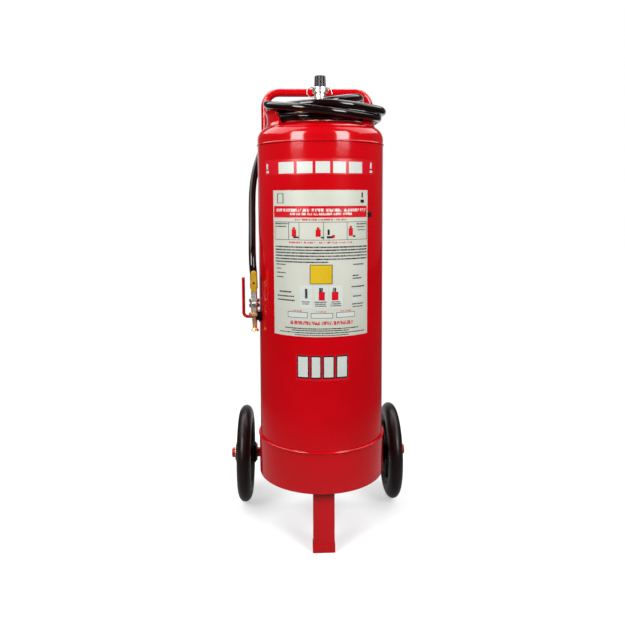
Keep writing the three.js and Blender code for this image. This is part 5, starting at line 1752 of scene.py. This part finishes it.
@dataclass
class Wheels:
    """The two rubber wheels with their hubs, bushes, washers and axle caps."""

    radius: float = 127.85
    height: float = 128.5
    out: float = 199.5
    half: float = 18.5
    tread: float = 26
    inner: float = 92
    hub_half: float = 15
    web_half: float = 7
    boss_half: float = 27
    bush: float = 12.5
    bore: float = 9.3
    boss: float = 29
    cap_radius: float = 13.2
    back: float = 165.1
    spokes: int = 8

    def tyre(self) -> Object:
        """Turn the tyre, with a rounded tread and rings on its walls."""
        half, inner, start = self.half, self.inner, self.radius - self.tread
        tread = [((x - start) * self.tread + start, y * half) for x, y in arc(start, 0, 1, -90, 90, 20)]
        wall = [(inner, 3 - half), (inner + 2, 1.4 - half), (inner + 4.5, 1.2 - half), (inner + 5.5, 0.3 - half)]
        mirror = [(x, -y) for x, y in reversed(wall)]
        return turned("tyre", [*wall, *tread, *mirror, wall[0]], ORIGIN, 128)

    def hub(self) -> Object:
        """Turn the hub and set its ribs between the boss and the rim."""
        rim = self.inner * math.cos(math.pi / 40) - GAP
        hole, w, b, boss, edge = self.bush + GAP, self.web_half, self.boss_half, self.boss, self.hub_half
        side = [(boss - 2, b), (boss - 1.6, w + 3), (boss + 1, w), (rim - 14, w), (rim - 12, w + 2),
                (rim - 9, edge), (rim, edge)]
        mirror = [(x, -y) for x, y in side]
        hub = turned("hub", [(hole, -b), *mirror, *reversed(side), (hole, b), (hole, -b)], ORIGIN, 96)
        ribs = [
            block("rib", (boss - 2, -2.2, -w - 4), (rim - 10, 2.2, w + 4), swung(360 * i / self.spokes, "Z"))
            for i in range(self.spokes)
        ]
        return rounded(joined(hub, *ribs), 0.8)

    def ring(self, name: str, radius: float, low: float, high: float) -> Object:
        """Turn a plain ring on the axle."""
        return rounded(ring(name, (self.bore, radius), (low, high), ORIGIN), 0.3)

    def cap(self, start: float) -> Object:
        """Turn the cap that closes the axle."""
        b, r = self.bore, self.cap_radius
        profile = [(0, start + 7.3), (b, start + 7.3), (b, start), (r, start), (r, start + 5.4),
                   (r - 0.5, start + 7), (r - 1.6, start + 8.3), (r - 3.2, start + 9), (0, start + 9)]
        return turned("axle_cap", profile, ORIGIN, 48)

    def build(self) -> None:
        """Model one wheel, and set a copy of each piece at both sides."""
        inner, outer = -self.boss_half - GAP, self.boss_half + GAP
        bush = self.ring("bush", self.bush, -self.boss_half, self.boss_half)
        masters = [
            (self.tyre(), TYRE_RUBBER, True), (self.hub(), HUB_PLASTIC, True), (bush, NICKEL, True),
            # The inner washer takes the dark zinc: painted shade between the wheel and the skirt.
            (self.ring("inner_washer", 23, inner - 3, inner), SHADED_ZINC, False),
            (self.ring("outer_washer", 20, outer, outer + 2.2), ZINC, False),
            (self.cap(outer + 2.2 + GAP), RED, False),
        ]
        for side, sign, wheel in (("left", -1, Body.LEFT_WHEEL), ("right", 1, Body.RIGHT_WHEEL)):
            place = TANK @ moved(sign * self.out, self.back, self.height) @ swung(90 * sign, "Y")
            for master, finish, turns in masters:
                piece = settle(copied(master, f"{side}_{master.name}"), place)
                dress(piece, finish, wheel if turns else Body.TANK)
        for master, _, _ in masters:
            bpy.data.objects.remove(master, do_unlink=True)


@dataclass
class FrontLeg:
    """The square leg under the tank and the shoe on its foot."""

    half: float = 25
    front: float = -125
    depth: float = 25
    wall: float = 2.5
    roof: float = 227.7
    shoe_wall: float = 0.9
    shoe_floor: float = 3
    shoe_height: float = 22

    def box(self, name: str, grow: float, low: float, high: float) -> Object:
        """A block round the leg's outline, grown to every side."""
        half, back = self.half + grow, self.front + self.depth + grow
        return block(name, (-half, self.front - grow, low), (half, back, high))

    def build(self, tank: Tank) -> None:
        """Build the leg under the bottom end, and its shoe.

        Args:
            tank: The tank that it stands under.
        """
        floor, roof, edge = self.shoe_floor + GAP, self.roof, tank.radius + GAP
        leg = rounded(self.box("front_leg", 0, floor, roof), 2.5, 3)
        dish = tank.dished(GAP, roof, True)
        above = turned("above", [*reversed(dish), (edge, roof + 20), (0, roof + 20)], sides=tank.sides)
        dress(cut(leg, self.box("bore", -self.wall, floor - 5, roof + 5), above), RED)

        shoe = rounded(self.box("leg_shoe", self.shoe_wall + GAP, 0, self.shoe_height), 1.6, 3)
        well = self.box("well", GAP, self.shoe_floor, self.shoe_height + 5)
        dress(cut(shoe, rounded(well, 2.3, 3)), RED)


# ---------------------------------------------------------------- assembly


def main() -> None:
    """Build the stage and every sub-assembly in order."""
    logging.basicConfig(level=logging.INFO, format="%(name)s: %(message)s")
    make_effects()
    Studio().build()
    outlet, valve, tank = Outlet(), JetValve(), Tank()
    valve.build()
    outlet.build()
    hanging = (
        "head_ferrule", "hose_nut", "tail_ferrule", "valve_body", "valve_end", "valve_seat_upper",
        "valve_seat_lower", "gland_nut", "jet_nozzle", "valve_ball", "valve_stem", "valve_lever",
        "lever_grip", "lever_nut",
    )
    Hose().build(outlet, valve.hose_end(), valve.up(), [f"{name}_made" for name in hanging])
    NozzleHook().build(valve)
    tank.build(outlet)
    HoseGuards().build(tank)
    Label().build()
    FillingHead().build()
    HandleFrame().build()
    Wheels().build()
    FrontLeg().build(tank)
    deselect()


if __name__ == "__main__":
    main()
